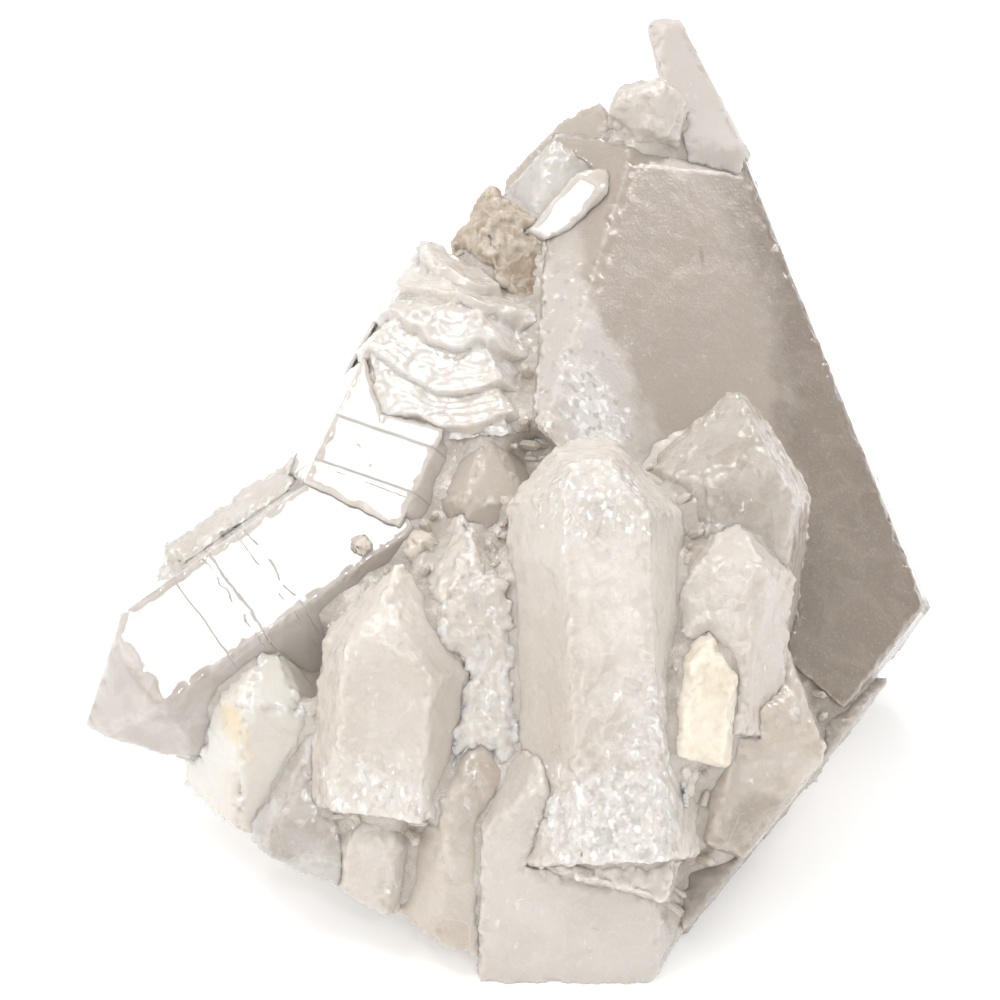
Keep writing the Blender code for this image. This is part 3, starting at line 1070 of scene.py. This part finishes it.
@dataclass(frozen=True)
class Crystal:
    """One crystal of the cluster, made from its solid in the frame."""

    node: str
    finish: Finish
    skin: Skin
    zones: tuple[Zone, ...] = ()
    cracks: tuple[CrackLine, ...] = ()
    tint: float = 1.0

    def build(self, keep: Keep) -> bpy.types.Object:
        """Makes the crystal's fine mesh and dresses it.

        Args:
            keep: lowest and highest corner that the cluster stays within.

        Returns:
            The finished piece, which rides on the root body and stands for its node.
        """
        shape = bmesh.new()
        shape.from_mesh(bpy.data.objects[self.node].data)
        bmesh.ops.remove_doubles(shape, verts=shape.verts, dist=WELD)
        bmesh.ops.dissolve_limit(
            shape, angle_limit=FLAT_ANGLE, verts=shape.verts, edges=shape.edges
        )
        bmesh.ops.triangulate(shape, faces=shape.faces)
        sharp = self._sharp_points(shape)
        self._divide(shape)
        near = [sharp.find(vert.co)[2] for vert in shape.verts]
        self._round_edges(shape, near)
        self._work_faces(shape, near, keep)
        piece = linked(self.node + "_quartz", shape)
        mesh = piece.data
        wear = mesh.attributes.new(EDGE_ATTRIBUTE, "FLOAT", "POINT")
        reach = RIM_REACH * MM
        wear.data.foreach_set("value", [math.exp(-((far / reach) ** 2)) for far in near])
        mesh.materials.append(self.finish.make(self.node, self.zones, self.cracks, self.tint))
        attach(piece, "root")
        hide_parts(self.node)
        return piece

    def _sharp_points(self, shape: bmesh.types.BMesh) -> kdtree.KDTree:
        """Points along the sharp edges, close enough to measure distances from them.

        Args:
            shape: the mesh.

        Returns:
            The points, ready to search.
        """
        step = SHARP_STEP * MM
        points = []
        for edge in shape.edges:
            if len(edge.link_faces) == 2 and edge.calc_face_angle() < SHARP_ANGLE:
                continue
            start, end = (vert.co.copy() for vert in edge.verts)
            count = max(1, math.ceil((end - start).length / step))
            points += [start.lerp(end, index / count) for index in range(count + 1)]
        tree = kdtree.KDTree(len(points))
        for index, point in enumerate(points):
            tree.insert(point, index)
        tree.balance()
        return tree

    def _divide(self, shape: bmesh.types.BMesh) -> None:
        """Halves the longest edges, round after round, until every edge is short.

        Args:
            shape: the mesh.
        """
        target = self.skin.grid * MM
        limit = max(edge.calc_length() for edge in shape.edges)
        while limit > target:
            limit = max(target, limit * SHRINK)
            for _ in range(2):
                long_edges = [edge for edge in shape.edges if edge.calc_length() > limit]
                if not long_edges:
                    break
                bmesh.ops.subdivide_edges(
                    shape, edges=long_edges, cuts=1, use_single_edge=True
                )
                corners = [face for face in shape.faces if len(face.verts) > 3]
                bmesh.ops.triangulate(shape, faces=corners)

    def _round_edges(self, shape: bmesh.types.BMesh, near: list[float]) -> None:
        """Takes the knife edge off the sharp edges.

        Args:
            shape: the mesh.
            near: each vertex's distance from the nearest sharp edge.
        """
        shape.verts.ensure_lookup_table()
        band = SMOOTH_BAND * self.skin.grid * MM
        verts = [vert for vert, far in zip(shape.verts, near) if far < band]
        for _ in range(self.skin.rounding):
            bmesh.ops.smooth_vert(
                shape, verts=verts, factor=0.5, use_axis_x=True, use_axis_y=True, use_axis_z=True
            )

    def _work_faces(
        self, shape: bmesh.types.BMesh, near: list[float], keep: Keep
    ) -> None:
        """Swells the crystal, and presses its relief into the faces.

        Args:
            shape: the mesh.
            near: each vertex's distance from the nearest sharp edge.
            keep: lowest and highest corner that the cluster stays within.
        """
        low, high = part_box(self.node)
        middle = (low + high) / 2
        shape.normal_update()
        places = []
        reach = self.skin.edge_reach * MM
        for vert, far in zip(shape.verts, near):
            point = (vert.co - middle) / MM
            edge = math.exp(-((far / reach) ** 2))
            lift = self.skin.swell
            lift += sum(r.height(point, vert.normal, edge) for r in self.skin.reliefs)
            places.append(vert.co + vert.normal * lift * MM)
        for vert, place in zip(shape.verts, places):
            vert.co = kept_in(place, keep)
        shape.normal_update()


# ---------------------------------------------------------------- skins


def glassy(axis: Triple, *more: Relief, lines: float = 0.02, ragged: float = 0.35) -> Skin:
    """A flat, glassy crystal with faint growth lines.

    Args:
        axis: the way that the crystal grew.
        more: further relief of this crystal only.
        lines: depth of the growth lines.
        ragged: how far its edges are gnawed.

    Returns:
        The skin.
    """
    base = (Grain(0.010, 6.0), GrowthLines(lines, 1.4, axis), Ragged(ragged, 1.6))
    return Skin(base + (Chips(ragged, 0.9),) + more, rounding=1, edge_reach=0.55, grid=0.6)


def etched(
    *more: Relief,
    depth: float = 0.10,
    size: float = 2.8,
    ragged: float = 0.4,
    swell: float = 0.3,
    grid: float = 0.6,
    rounding: int = 2,
) -> Skin:
    """A crystal whose faces are etched into low scales and pits.

    Args:
        more: further relief of this crystal only.
        depth: depth of the facets.
        size: width of the facets.
        ragged: how far its edges are gnawed.
        swell: how far the faces stand out.
        grid: longest edge of the mesh.
        rounding: how often the sharp edges are smoothed.

    Returns:
        The skin.
    """
    base = (Facets(depth, size), Facets(0.05, 1.1, 2.0), Grain(0.14, 7.0), Pits(0.08, 1.2))
    edges = (Ragged(ragged, 2.6), Chips(0.3, 1.1))
    return Skin(base + edges + more, grid, swell, rounding, edge_reach=0.9)


def splintered(
    *more: Relief, depth: float = 0.35, size: float = 2.6, grid: float = 0.6
) -> Skin:
    """A crystal that is broken or overgrown all over.

    Args:
        more: further relief of this crystal only.
        depth: depth of the facets.
        size: width of the facets.
        grid: longest edge of the mesh.

    Returns:
        The skin.
    """
    base = (Facets(depth, size), Facets(depth * 0.5, size * 0.45, 5.0), Grain(0.2, 5.0))
    edges = (Ragged(0.7, 2.4), Chips(0.5, 1.2))
    return Skin(base + edges + more, swell=0.35, grid=grid, rounding=1, edge_reach=1.0)


# ---------------------------------------------------------------- sub-assemblies


class CrystalGroup:
    """A group of crystals that grew together. Its crystals are its dataclass fields."""

    def crystals(self) -> list[Crystal]:
        """The crystals of the group."""
        found = (getattr(self, item.name) for item in fields(self))
        return [item for item in found if isinstance(item, Crystal)]

    def build(self, keep: Keep) -> list[bpy.types.Object]:
        """Builds every crystal of the group.

        Args:
            keep: lowest and highest corner that the cluster stays within.

        Returns:
            The pieces.
        """
        pieces = []
        for crystal in self.crystals():
            piece = crystal.build(keep)
            count = len(piece.data.polygons)
            LOG.info("%s: %s, %d triangles", type(self).__name__, piece.name, count)
            pieces.append(piece)
        return pieces


MAIN_AXIS = (0.266, 0.387, 0.883)
PRISM_AXIS = (-0.815, -0.373, -0.445)
SLAB_AXIS = (0.398, 0.694, 0.602)
FACE_DOWN = (0.156, 0.888, 0.425)
FACE_ACROSS = (0.87, 0.36, -0.34)


def scaled(direction: Triple, length: float) -> Triple:
    """A direction drawn out to a length."""
    return tuple(length * part for part in Vector(direction).normalized())


@dataclass
class MainPoint(CrystalGroup):
    """The big smoky point with its broad front face."""

    point: Crystal = Crystal(
        "main_point",
        MAIN_SMOKY,
        Skin(
            (
                Grain(0.06, 9.0), Facets(0.035, 4.0), GrowthLines(0.012, 2.2, MAIN_AXIS),
                Ragged(0.35, 2.4), Chips(0.45, 1.2),
            ),
            grid=0.76,
            rounding=1,
            edge_reach=0.8,
        ),
        zones=(
            Zone(
                (0.28, 0.52, 0.84), scaled(FACE_DOWN, 34.0), scaled(FACE_ACROSS, 17.0), 14.0,
                (0.46, 0.40, 0.345), 0.95, ragged=0.7, grain=9.0, soft=0.35,
            ),
            Zone(
                (0.10, 0.30, 0.80), scaled(FACE_DOWN, 25.0), scaled(FACE_ACROSS, 10.5), 14.0,
                (0.60, 0.555, 0.51), 0.9, 0.3, ragged=0.8, grain=5.0, soft=0.4, painted_glint_shards=0.08,
            ),
            Zone(
                (0.36, 0.49, 0.81), scaled(FACE_DOWN, 18.5), scaled(FACE_ACROSS, 12.5), 9.0,
                (0.43, 0.365, 0.31), 0.95, 0.08, ragged=0.35, grain=7.0, soft=0.1,
            ),
            Zone(
                (0.16, 0.22, 0.74), (0.5, 6.0, 2.5), scaled(FACE_ACROSS, 3.5), 6.0,
                (0.72, 0.69, 0.66), 0.8, 0.25, ragged=1.4, grain=2.5, soft=0.5, painted_glint_shards=0.24,
            ),
            Zone(
                (0.42, 0.60, 0.85), (0.3, 1.0, 0.7), (0.3, 0.1, -0.1), 2.0, (0.27, 0.22, 0.19),
                0.6, ragged=0.5, grain=1.0, soft=0.5,
            ),
            Zone(
                (0.85, 0.40, 0.52), scaled(FACE_DOWN, 12.0), scaled(FACE_ACROSS, 3.5), 6.0,
                (0.27, 0.22, 0.18), 0.5, ragged=1.2, grain=4.0, soft=0.6,
            ),
        ),
    )


@dataclass
class Summit(CrystalGroup):
    """The small crystals at the top and behind it."""

    bud: Crystal = Crystal(
        "summit_bud", MILKY, etched(depth=0.08, size=1.6, ragged=0.6), tint=0.98
    )
    point: Crystal = Crystal("summit_point", DULL_SMOKY, glassy((0.38, 0.85, 1.8)))
    wedge: Crystal = Crystal("bright_wedge", BRIGHT, glassy((0.3, 0.4, 0.86), ragged=0.15))
    shoulder: Crystal = Crystal("shoulder", CLEAR, glassy((-0.05, 0.0, 1.0)), tint=0.86)
    upper_rear: Crystal = Crystal("upper_rear", SMOKY, glassy((0.1, 0.3, 0.95)), tint=1.05)
    stained: Crystal = Crystal("stained_shoulder", STAINED, splintered(depth=0.35, size=2.4))


@dataclass
class LeftPrisms(CrystalGroup):
    """The prism that lies to the left, the slab above it and the fluted crystal."""

    prism: Crystal = Crystal(
        "left_prism",
        BRIGHT,
        glassy(PRISM_AXIS, lines=0.006, ragged=0.18),
        cracks=(
            CrackLine(PRISM_AXIS, 3.0, 1.6, 0.2, 0.35),
            CrackLine(PRISM_AXIS, 3.9, 2.6, 0.16, 0.45),
            CrackLine(PRISM_AXIS, -2.4, 2.2, 0.16, 0.42),
            CrackLine(PRISM_AXIS, -1.2, 1.2, 0.12, 0.5),
            CrackLine(PRISM_AXIS, 8.2, 0.8, 0.14, 0.3),
        ),
        tint=0.88,
    )
    prism_upper: Crystal = Crystal("left_prism_upper", CLEAR, splintered(depth=0.25, size=2.4))
    slab: Crystal = Crystal(
        "left_slab",
        BRIGHT,
        glassy(SLAB_AXIS, lines=0.006, ragged=0.18),
        cracks=(
            CrackLine(SLAB_AXIS, -3.4, 0.2, 0.28, 0.1),
            CrackLine(SLAB_AXIS, -9.6, 0.2, 0.22, 0.1),
            CrackLine(SLAB_AXIS, -10.4, 0.8, 0.1, 0.5),
        ),
        tint=1.02,
    )
    fluted: Crystal = Crystal(
        "fluted_crystal",
        CLEAR,
        Skin(
            (
                Ledges(1.1, 5.2, (6.0, 12.0, 18.0)), Facets(0.22, 3.4), Facets(0.07, 1.3, 4.0),
                Ragged(0.4, 2.0),
            ),
            grid=0.48,
            swell=0.3,
            rounding=1,
            edge_reach=1.0,
        ),
        tint=1.03,
    )
    rough: Crystal = Crystal(
        "mid_left_rough",
        CLEAR,
        splintered(depth=0.3, size=2.4),
        zones=(
            Zone(
                (0.5, 0.2, 0.5), (0.0, 2.0, 12.0), (7.0, 0.0, 0.0), 10.0, (0.74, 0.69, 0.63),
                0.4, 0.1, ragged=1.4, grain=3.0, soft=0.5, painted_glint_shards=0.24,
            ),
        ),
        tint=1.1,
    )
    bud_left: Crystal = Crystal("brown_bud_left", BUD, splintered(depth=0.2, size=1.2))
    bud_right: Crystal = Crystal("brown_bud_right", BUD, splintered(depth=0.25, size=1.4))
    recess: Crystal = Crystal("recess_prism", SMOKY, glassy((0.1, 0.5, 0.86)), tint=1.12)


@dataclass
class FrontCrystals(CrystalGroup):
    """The pale crystals in the middle of the front."""

    centre: Crystal = Crystal(
        "centre_crystal",
        MILKY,
        etched(
            ShardPatch((-1.0, 8.0, 19.0), 5.5, 0.3, 1.3),
            ShardPatch((-1.5, -17.0, -11.0), 8.0, 0.45, 1.7),
            ShardPatch((6.5, -11.0, -3.0), 5.5, 0.3, 1.5), depth=0.09, size=3.4, ragged=0.25,
            rounding=1,
        ),
        zones=(
            Zone(
                (0.35, 0.35, 0.50), (-1.0, 7.0, 11.0), (5.5, 0.5, 0.0), 9.0,
                (0.575, 0.51, 0.445), 0.75, ragged=0.8, grain=6.0, soft=0.6,
            ),
            Zone(
                (0.45, 0.66, 0.93), (0.5, 3.0, 4.5), (7.0, 0.0, 0.0), 6.0, (0.66, 0.625, 0.585),
                0.5, 0.3, ragged=1.2, grain=2.5, soft=0.4, painted_glint_shards=0.24,
            ),
            Zone(
                (0.50, 0.06, 0.26), (0.5, 4.5, 6.5), (9.0, 1.5, 0.0), 7.0, (0.73, 0.70, 0.665),
                0.7, 0.35, ragged=1.0, grain=3.0, soft=0.4, painted_glint_shards=0.3,
            ),
            Zone(
                (0.80, 0.22, 0.46), (-0.5, 5.0, 8.0), (4.0, 1.5, 0.0), 7.0, (0.72, 0.69, 0.655),
                0.6, 0.35, ragged=1.0, grain=3.0, soft=0.4, painted_glint_shards=0.22,
            ),
        ),
    )
    lower: Crystal = Crystal("centre_lower", MILKY, splintered(depth=0.3, size=2.2))
    plate: Crystal = Crystal(
        "left_plate",
        MILKY,
        etched(ShardPatch((-1.0, -5.0, -7.0), 6.0, 0.3, 1.3), depth=0.1, size=2.6, rounding=1),
        zones=(
            Zone(
                (0.45, 0.10, 0.28), (0.5, 2.0, 3.2), (6.5, 0.5, 0.0), 6.0, (0.76, 0.73, 0.69),
                0.6, 0.2, ragged=1.2, grain=2.5, soft=0.4, painted_glint_shards=0.24,
            ),
        ),
        tint=1.04,
    )
    cream: Crystal = Crystal("cream_plate", CREAM, etched(depth=0.16, size=1.8))
    block: Crystal = Crystal("lower_block", MILKY, etched(depth=0.08, size=2.8), tint=0.93)
    low_mid: Crystal = Crystal("low_front_mid", DUSKY, glassy((0.0, 0.3, 0.95)))
    low_left: Crystal = Crystal("low_front_left", MILKY, etched(depth=0.15, size=2.0))


@dataclass
class RightFront(CrystalGroup):
    """The crystals that lean on the main point from the front right."""

    upper: Crystal = Crystal(
        "right_centre_upper",
        DUSKY,
        etched(depth=0.14, size=2.6),
        zones=(
            Zone(
                (0.30, 0.30, 0.72), (0.5, 2.5, 5.0), (4.5, 0.0, 0.0), 6.0, (0.72, 0.67, 0.61),
                0.5, 0.15, ragged=1.3, grain=2.5, soft=0.5, painted_glint_shards=0.26,
            ),
        ),
        tint=0.77,
    )
    lower: Crystal = Crystal("right_centre_lower", MILKY, etched(depth=0.14, size=2.6))
    facet: Crystal = Crystal(
        "right_facet",
        DUSKY,
        etched(depth=0.14, size=2.8),
        zones=(
            Zone(
                (0.60, 0.15, 0.22), (12.0, 2.0, 5.0), (-3.0, 0.0, 9.0), 14.0,
                (0.46, 0.40, 0.335), 0.9, ragged=0.4, grain=5.0, soft=0.15,
            ),
        ),
        tint=1.12,
    )
    low: Crystal = Crystal("lower_right", SMOKY, etched(depth=0.16, size=3.0), tint=0.74)


@dataclass
class LowerLeft(CrystalGroup):
    """The clear crystals under the left prism."""

    clear: Crystal = Crystal(
        "lower_left_clear",
        CLEAR,
        glassy((-0.3, -0.6, 0.74), ragged=0.6),
        zones=(
            Zone(
                (0.34, 0.22, 0.72), (1.2, -1.0, -4.2), (0.7, 0.6, 0.1), 2.0, (0.74, 0.60, 0.38),
                0.7, ragged=1.2, grain=1.5, soft=0.6,
            ),
        ),
        tint=1.2,
    )
    body: Crystal = Crystal("lower_left_body", CLEAR, etched(depth=0.2, size=3.2), tint=0.76)


@dataclass
class RearCrystals(CrystalGroup):
    """The crystals of the back, which stand lower and lean outwards."""

    recess: Crystal = Crystal("rear_recess", SMOKY, etched(grid=0.85), tint=1.15)
    upper: Crystal = Crystal("rear_upper", MILKY, etched(grid=0.85))
    left: Crystal = Crystal("rear_left", MILKY, etched(grid=0.85))
    under_prism: Crystal = Crystal("rear_under_prism", CLEAR, etched(grid=0.85))
    left_low: Crystal = Crystal("rear_left_low", CLEAR, etched(grid=0.85))
    middle: Crystal = Crystal("rear_mid", MILKY, etched(grid=0.85))
    low: Crystal = Crystal("rear_low", CLEAR, etched(grid=0.85))
    right: Crystal = Crystal("rear_right", CLEAR, etched(grid=0.85))
    high: Crystal = Crystal("rear_high", MILKY, etched(grid=0.85))
    right_high: Crystal = Crystal("rear_right_high", CLEAR, etched(grid=0.85))


@dataclass
class Base(CrystalGroup):
    """The rough mass that the crystals stand in."""

    matrix: Crystal = Crystal("matrix", ROUGH, splintered(depth=0.7, size=4.5, grid=1.0))


@dataclass
class Overgrowth:
    """The later quartz that fills the crevices, so that the cluster is one mass.

    It is the whole frame closed up: swollen until narrow gaps shut, then drawn back to
    just under the faces of the crystals.
    """

    cell: float = 0.85
    closing: float = 1.8
    sunk: float = 0.5
    finish: Finish = GROWN
    reliefs: tuple[Relief, ...] = (
        Facets(0.32, 2.6, 9.0),
        Facets(0.12, 1.2, 4.0),
        Grain(0.15, 4.0),
    )
    zones: tuple[Zone, ...] = (
        Zone(
            (0.98, 0.02, 0.55), (13.0, 0.0, 0.0), (0.0, 16.0, 0.0), 16.0, (0.47, 0.415, 0.355),
            0.9, ragged=0.6, grain=5.0, soft=0.3,
        ),
    )
    crevice_depth: float = 0.7
    margin: float = 0.3
    crevices: list[tuple[Vector, Vector]] = field(default_factory=list)

    def build(self, nodes: list[str], keep: Keep) -> bpy.types.Object:
        """Closes the crevices and works the filling's surface.

        Args:
            nodes: names of the solids that make up the mass.
            keep: lowest and highest corner that the cluster stays within.

        Returns:
            The piece.
        """
        mass = bmesh.new()
        for node in nodes:
            mass.from_mesh(bpy.data.objects[node].data)
        bmesh.ops.remove_doubles(mass, verts=mass.verts, dist=WELD)
        solids = BVHTree.FromBMesh(mass)
        rough = linked("overgrowth_block", mass, smooth=False)
        self._remesh(rough, 1)
        self._push(rough, self.closing)
        self._remesh(rough, 2)
        self._push(rough, -self.closing - self.sunk)
        self._remesh(rough, 3)
        view = bpy.context.evaluated_depsgraph_get()
        closed = bpy.data.meshes.new_from_object(rough.evaluated_get(view))
        bpy.data.objects.remove(rough)
        return self._dress(closed, solids, keep)

    def _remesh(self, piece: bpy.types.Object, step: int) -> None:
        """Adds a voxel remesh.

        Args:
            piece: the object.
            step: number of the modifier.
        """
        remesh = piece.modifiers.new(f"even_{step}", "REMESH")
        remesh.mode = "VOXEL"
        remesh.voxel_size = self.cell * MM

    def _push(self, piece: bpy.types.Object, reach: float) -> None:
        """Moves the whole surface out, or in where reach is below zero.

        Args:
            piece: the object.
            reach: how far, in millimetres.
        """
        push = piece.modifiers.new(f"push_{reach:+.1f}", "DISPLACE")
        push.strength = reach * MM
        push.mid_level = 0.0

    def _dress(
        self, closed: bpy.types.Mesh, solids: BVHTree, keep: Keep
    ) -> bpy.types.Object:
        """Roughens the closed surface, keeps it off the outside and gives it its finish.

        Args:
            closed: the closed surface.
            solids: the faces of the frame.
            keep: lowest and highest corner that the cluster stays within.

        Returns:
            The piece.
        """
        shape = bmesh.new()
        shape.from_mesh(closed)
        bpy.data.meshes.remove(closed)
        shape.normal_update()
        lift = [
            sum(r.height(vert.co / MM, vert.normal, 0.0) for r in self.reliefs)
            for vert in shape.verts
        ]
        for vert, height in zip(shape.verts, lift):
            near, facing, _, far = solids.find_nearest(vert.co)
            outside = (vert.co - near).dot(facing) > 0.5 * far
            if outside and far > self.crevice_depth * MM:
                self.crevices.append((vert.co.copy(), vert.normal.copy()))
            place = vert.co + vert.normal * min(height, self.sunk - self.margin) * MM
            vert.co = kept_in(place, keep)
        piece = linked("overgrowth", shape)
        piece.data.materials.append(self.finish.make("matrix", self.zones, (), 1.0))
        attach(piece, "root")
        LOG.info("Overgrowth: %s, %d faces", piece.name, len(piece.data.polygons))
        return piece


@dataclass
class Druse:
    """The tiny points that line the crevices between the crystals."""

    count: int = 130
    spacing: float = 1.7
    radius: tuple[float, float] = (0.3, 0.75)
    stretch: tuple[float, float] = (2.4, 4.6)
    lean: float = 1.1
    steepest: float = -0.3
    lowest: float = 3.0
    finish: Finish = GROWN
    seed: int = 7

    def build(
        self, crevices: list[tuple[Vector, Vector]], keep: Keep
    ) -> bpy.types.Object:
        """Grows the points in the crevices.

        Args:
            crevices: places in the crevices, each with the way that it faces.
            keep: lowest and highest corner that the cluster stays within.

        Returns:
            The piece.
        """
        draw = random.Random(self.seed)
        draw.shuffle(crevices)
        taken: list[Vector] = []
        shape = bmesh.new()
        for place, facing in crevices:
            if len(taken) >= self.count:
                break
            if facing.z < self.steepest or place.z < self.lowest * MM:
                continue
            if any((place - other).length < self.spacing * MM for other in taken):
                continue
            taken.append(place)
            tilt = Vector((draw.gauss(0, 1), draw.gauss(0, 1), draw.gauss(0, 1)))
            way = (facing + tilt * self.lean * 0.5).normalized()
            self._grow_point(shape, draw, place, way)
        for vert in shape.verts:
            vert.co = kept_in(vert.co, keep)
        piece = linked("druse", shape, smooth=False)
        piece.data.materials.append(self.finish.make("matrix", (), (), 1.04))
        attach(piece, "root")
        LOG.info("Druse: %d points, %d faces", len(taken), len(piece.data.polygons))
        return piece

    def _grow_point(
        self, shape: bmesh.types.BMesh, draw: random.Random, place: Vector, way: Vector
    ) -> None:
        """Adds one six-sided point with a pyramid end.

        Args:
            shape: the mesh.
            draw: source of the random numbers.
            place: the coordinates.
            way: direction that the point grows in.
        """
        radius = draw.uniform(*self.radius) * MM
        length = radius * draw.uniform(*self.stretch)
        turn = way.to_track_quat("Z", "Y").to_matrix().to_4x4()
        roll = Matrix.Rotation(draw.uniform(0.0, math.pi / 3), 4, "Z")
        made = bmesh.ops.create_cone(
            shape,
            cap_ends=True,
            segments=6,
            radius1=radius,
            radius2=radius * draw.uniform(0.8, 1.0),
            depth=length,
            matrix=Matrix.Translation(place + way * length * 0.15) @ turn @ roll,
        )
        faces = {face for vert in made["verts"] for face in vert.link_faces}
        top = max(faces, key=lambda face: face.calc_center_median().dot(way))
        bmesh.ops.poke(shape, faces=[top], offset=radius * draw.uniform(0.7, 1.2))


# ---------------------------------------------------------------- studio


@dataclass
class Softbox:
    """A square soft light that looks at the cluster."""

    name: str
    direction: Triple
    distance: float
    width: float
    radiance: float

    def hang(self, target: Vector) -> bpy.types.Object:
        """Hangs the light and points it at the target.

        Args:
            target: the place that it lights.

        Returns:
            The light.
        """
        data = bpy.data.lights.new(self.name, "AREA")
        data.shape = "SQUARE"
        data.size = self.width
        data.energy = self.radiance * math.pi * self.width**2
        light = bpy.data.objects.new(self.name, data)
        bpy.context.scene.collection.objects.link(light)
        away = Vector(self.direction).normalized()
        light.location = target + away * self.distance
        light.rotation_euler = away.to_track_quat("Z", "Y").to_euler()
        return light


@dataclass
class Studio:
    """The pale floor, the lights and the camera."""

    aim_offset: Triple = (-3.1, -2.4, -1.3)
    camera_distance: float = 521.0
    camera_elevation: float = 30.0
    lens: float = 150.0
    floor_width: float = 6.0
    sky: float = 1.04
    horizon: float = 0.55
    boxes: list[Softbox] = field(
        default_factory=lambda: [
            Softbox("glint_box", (-0.30, -0.20, 0.93), 0.70, 0.28, 7.0),
            Softbox("rim_box", (0.62, 0.43, 0.64), 0.70, 0.13, 14.0),
            Softbox("spark_left", (-0.70, 0.25, 0.67), 0.70, 0.06, 45.0),
            Softbox("spark_front", (0.12, -0.80, 0.58), 0.70, 0.06, 45.0),
            Softbox("spark_back", (0.15, 0.75, 0.64), 0.70, 0.06, 45.0),
            Softbox("left_box", (-0.75, -0.45, 0.5), 0.80, 0.5, 0.8),
        ]
    )

    def build(self, box: tuple[Vector, Vector]) -> None:
        """Sets up the whole studio round the cluster.

        Args:
            box: lowest and highest corner of the cluster.
        """
        centre = (box[0] + box[1]) / 2
        self._lay_floor(box[0].z)
        self._light(centre)
        self._place_camera(centre)
        bpy.context.scene.view_settings.view_transform = "Standard"

    def _lay_floor(self, level: float) -> None:
        """Lays the plain white floor.

        Args:
            level: height of the floor.
        """
        shape = bmesh.new()
        bmesh.ops.create_grid(shape, x_segments=2, y_segments=2, size=self.floor_width / 2)
        bmesh.ops.translate(shape, verts=shape.verts, vec=(0, 0, level - 0.05 * MM))
        floor = linked("floor", shape, smooth=False)
        paint = bpy.data.materials.new("floor_white")
        paint.use_nodes = True
        shader = paint.node_tree.nodes["Principled BSDF"]
        shader.inputs["Base Color"].default_value = (0.93, 0.93, 0.93, 1)
        shader.inputs["Roughness"].default_value = 1.0
        shader.inputs["Specular IOR Level"].default_value = 0.0
        shader.inputs["Emission Color"].default_value = (1, 1, 1, 1)
        shader.inputs["Emission Strength"].default_value = 0.22
        floor.data.materials.append(paint)
        floor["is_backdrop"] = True

    def _light(self, centre: Vector) -> None:
        """Hangs the softboxes under a plain white sky.

        Args:
            centre: middle of the cluster.
        """
        world = bpy.data.worlds.new("white_room")
        world.use_nodes = True
        background = world.node_tree.nodes["Background"]
        background.inputs["Color"].default_value = (1, 1, 1, 1)
        tree = world.node_tree
        parts = tree.nodes.new("ShaderNodeSeparateXYZ")
        climb = tree.nodes.new("ShaderNodeMapRange")
        climb.interpolation_type = "SMOOTHSTEP"
        climb.inputs["From Min"].default_value = 0.05
        climb.inputs["From Max"].default_value = 0.55
        climb.inputs["To Min"].default_value = self.horizon
        climb.inputs["To Max"].default_value = self.sky
        place = tree.nodes.new("ShaderNodeTexCoord")
        tree.links.new(place.outputs["Generated"], parts.inputs[0])
        tree.links.new(parts.outputs["Z"], climb.inputs["Value"])
        tree.links.new(climb.outputs[0], background.inputs["Strength"])
        bpy.context.scene.world = world
        for box in self.boxes:
            box.hang(centre)

    def _place_camera(self, centre: Vector) -> None:
        """Places the camera in front of the cluster, looking down on it.

        Args:
            centre: middle of the cluster.
        """
        data = bpy.data.cameras.new("camera")
        data.lens = self.lens
        data.sensor_width = 36.0
        data.clip_start = 0.01
        data.clip_end = 50.0
        camera = bpy.data.objects.new("camera", data)
        bpy.context.scene.collection.objects.link(camera)
        tilt = math.radians(self.camera_elevation)
        back = Vector((0.0, -math.cos(tilt), math.sin(tilt)))
        aim = centre + Vector(self.aim_offset) * MM
        camera.location = aim + back * self.camera_distance * MM
        camera.rotation_euler = (math.pi / 2 - tilt, 0.0, 0.0)
        bpy.context.scene.camera = camera


def main() -> None:
    """Builds the cluster group by group, then the studio."""
    logging.basicConfig(level=logging.INFO, format="%(name)s: %(message)s")
    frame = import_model()
    cad_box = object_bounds()
    groups = (
        MainPoint(),
        Summit(),
        LeftPrisms(),
        FrontCrystals(),
        RightFront(),
        LowerLeft(),
        RearCrystals(),
        Base(),
    )
    for group in groups:
        group.build(cad_box)
    overgrowth = Overgrowth()
    overgrowth.build(sorted(frame["nodes"]), cad_box)
    Druse().build(overgrowth.crevices, cad_box)
    Studio().build(cad_box)


if __name__ == "__main__":
    main()
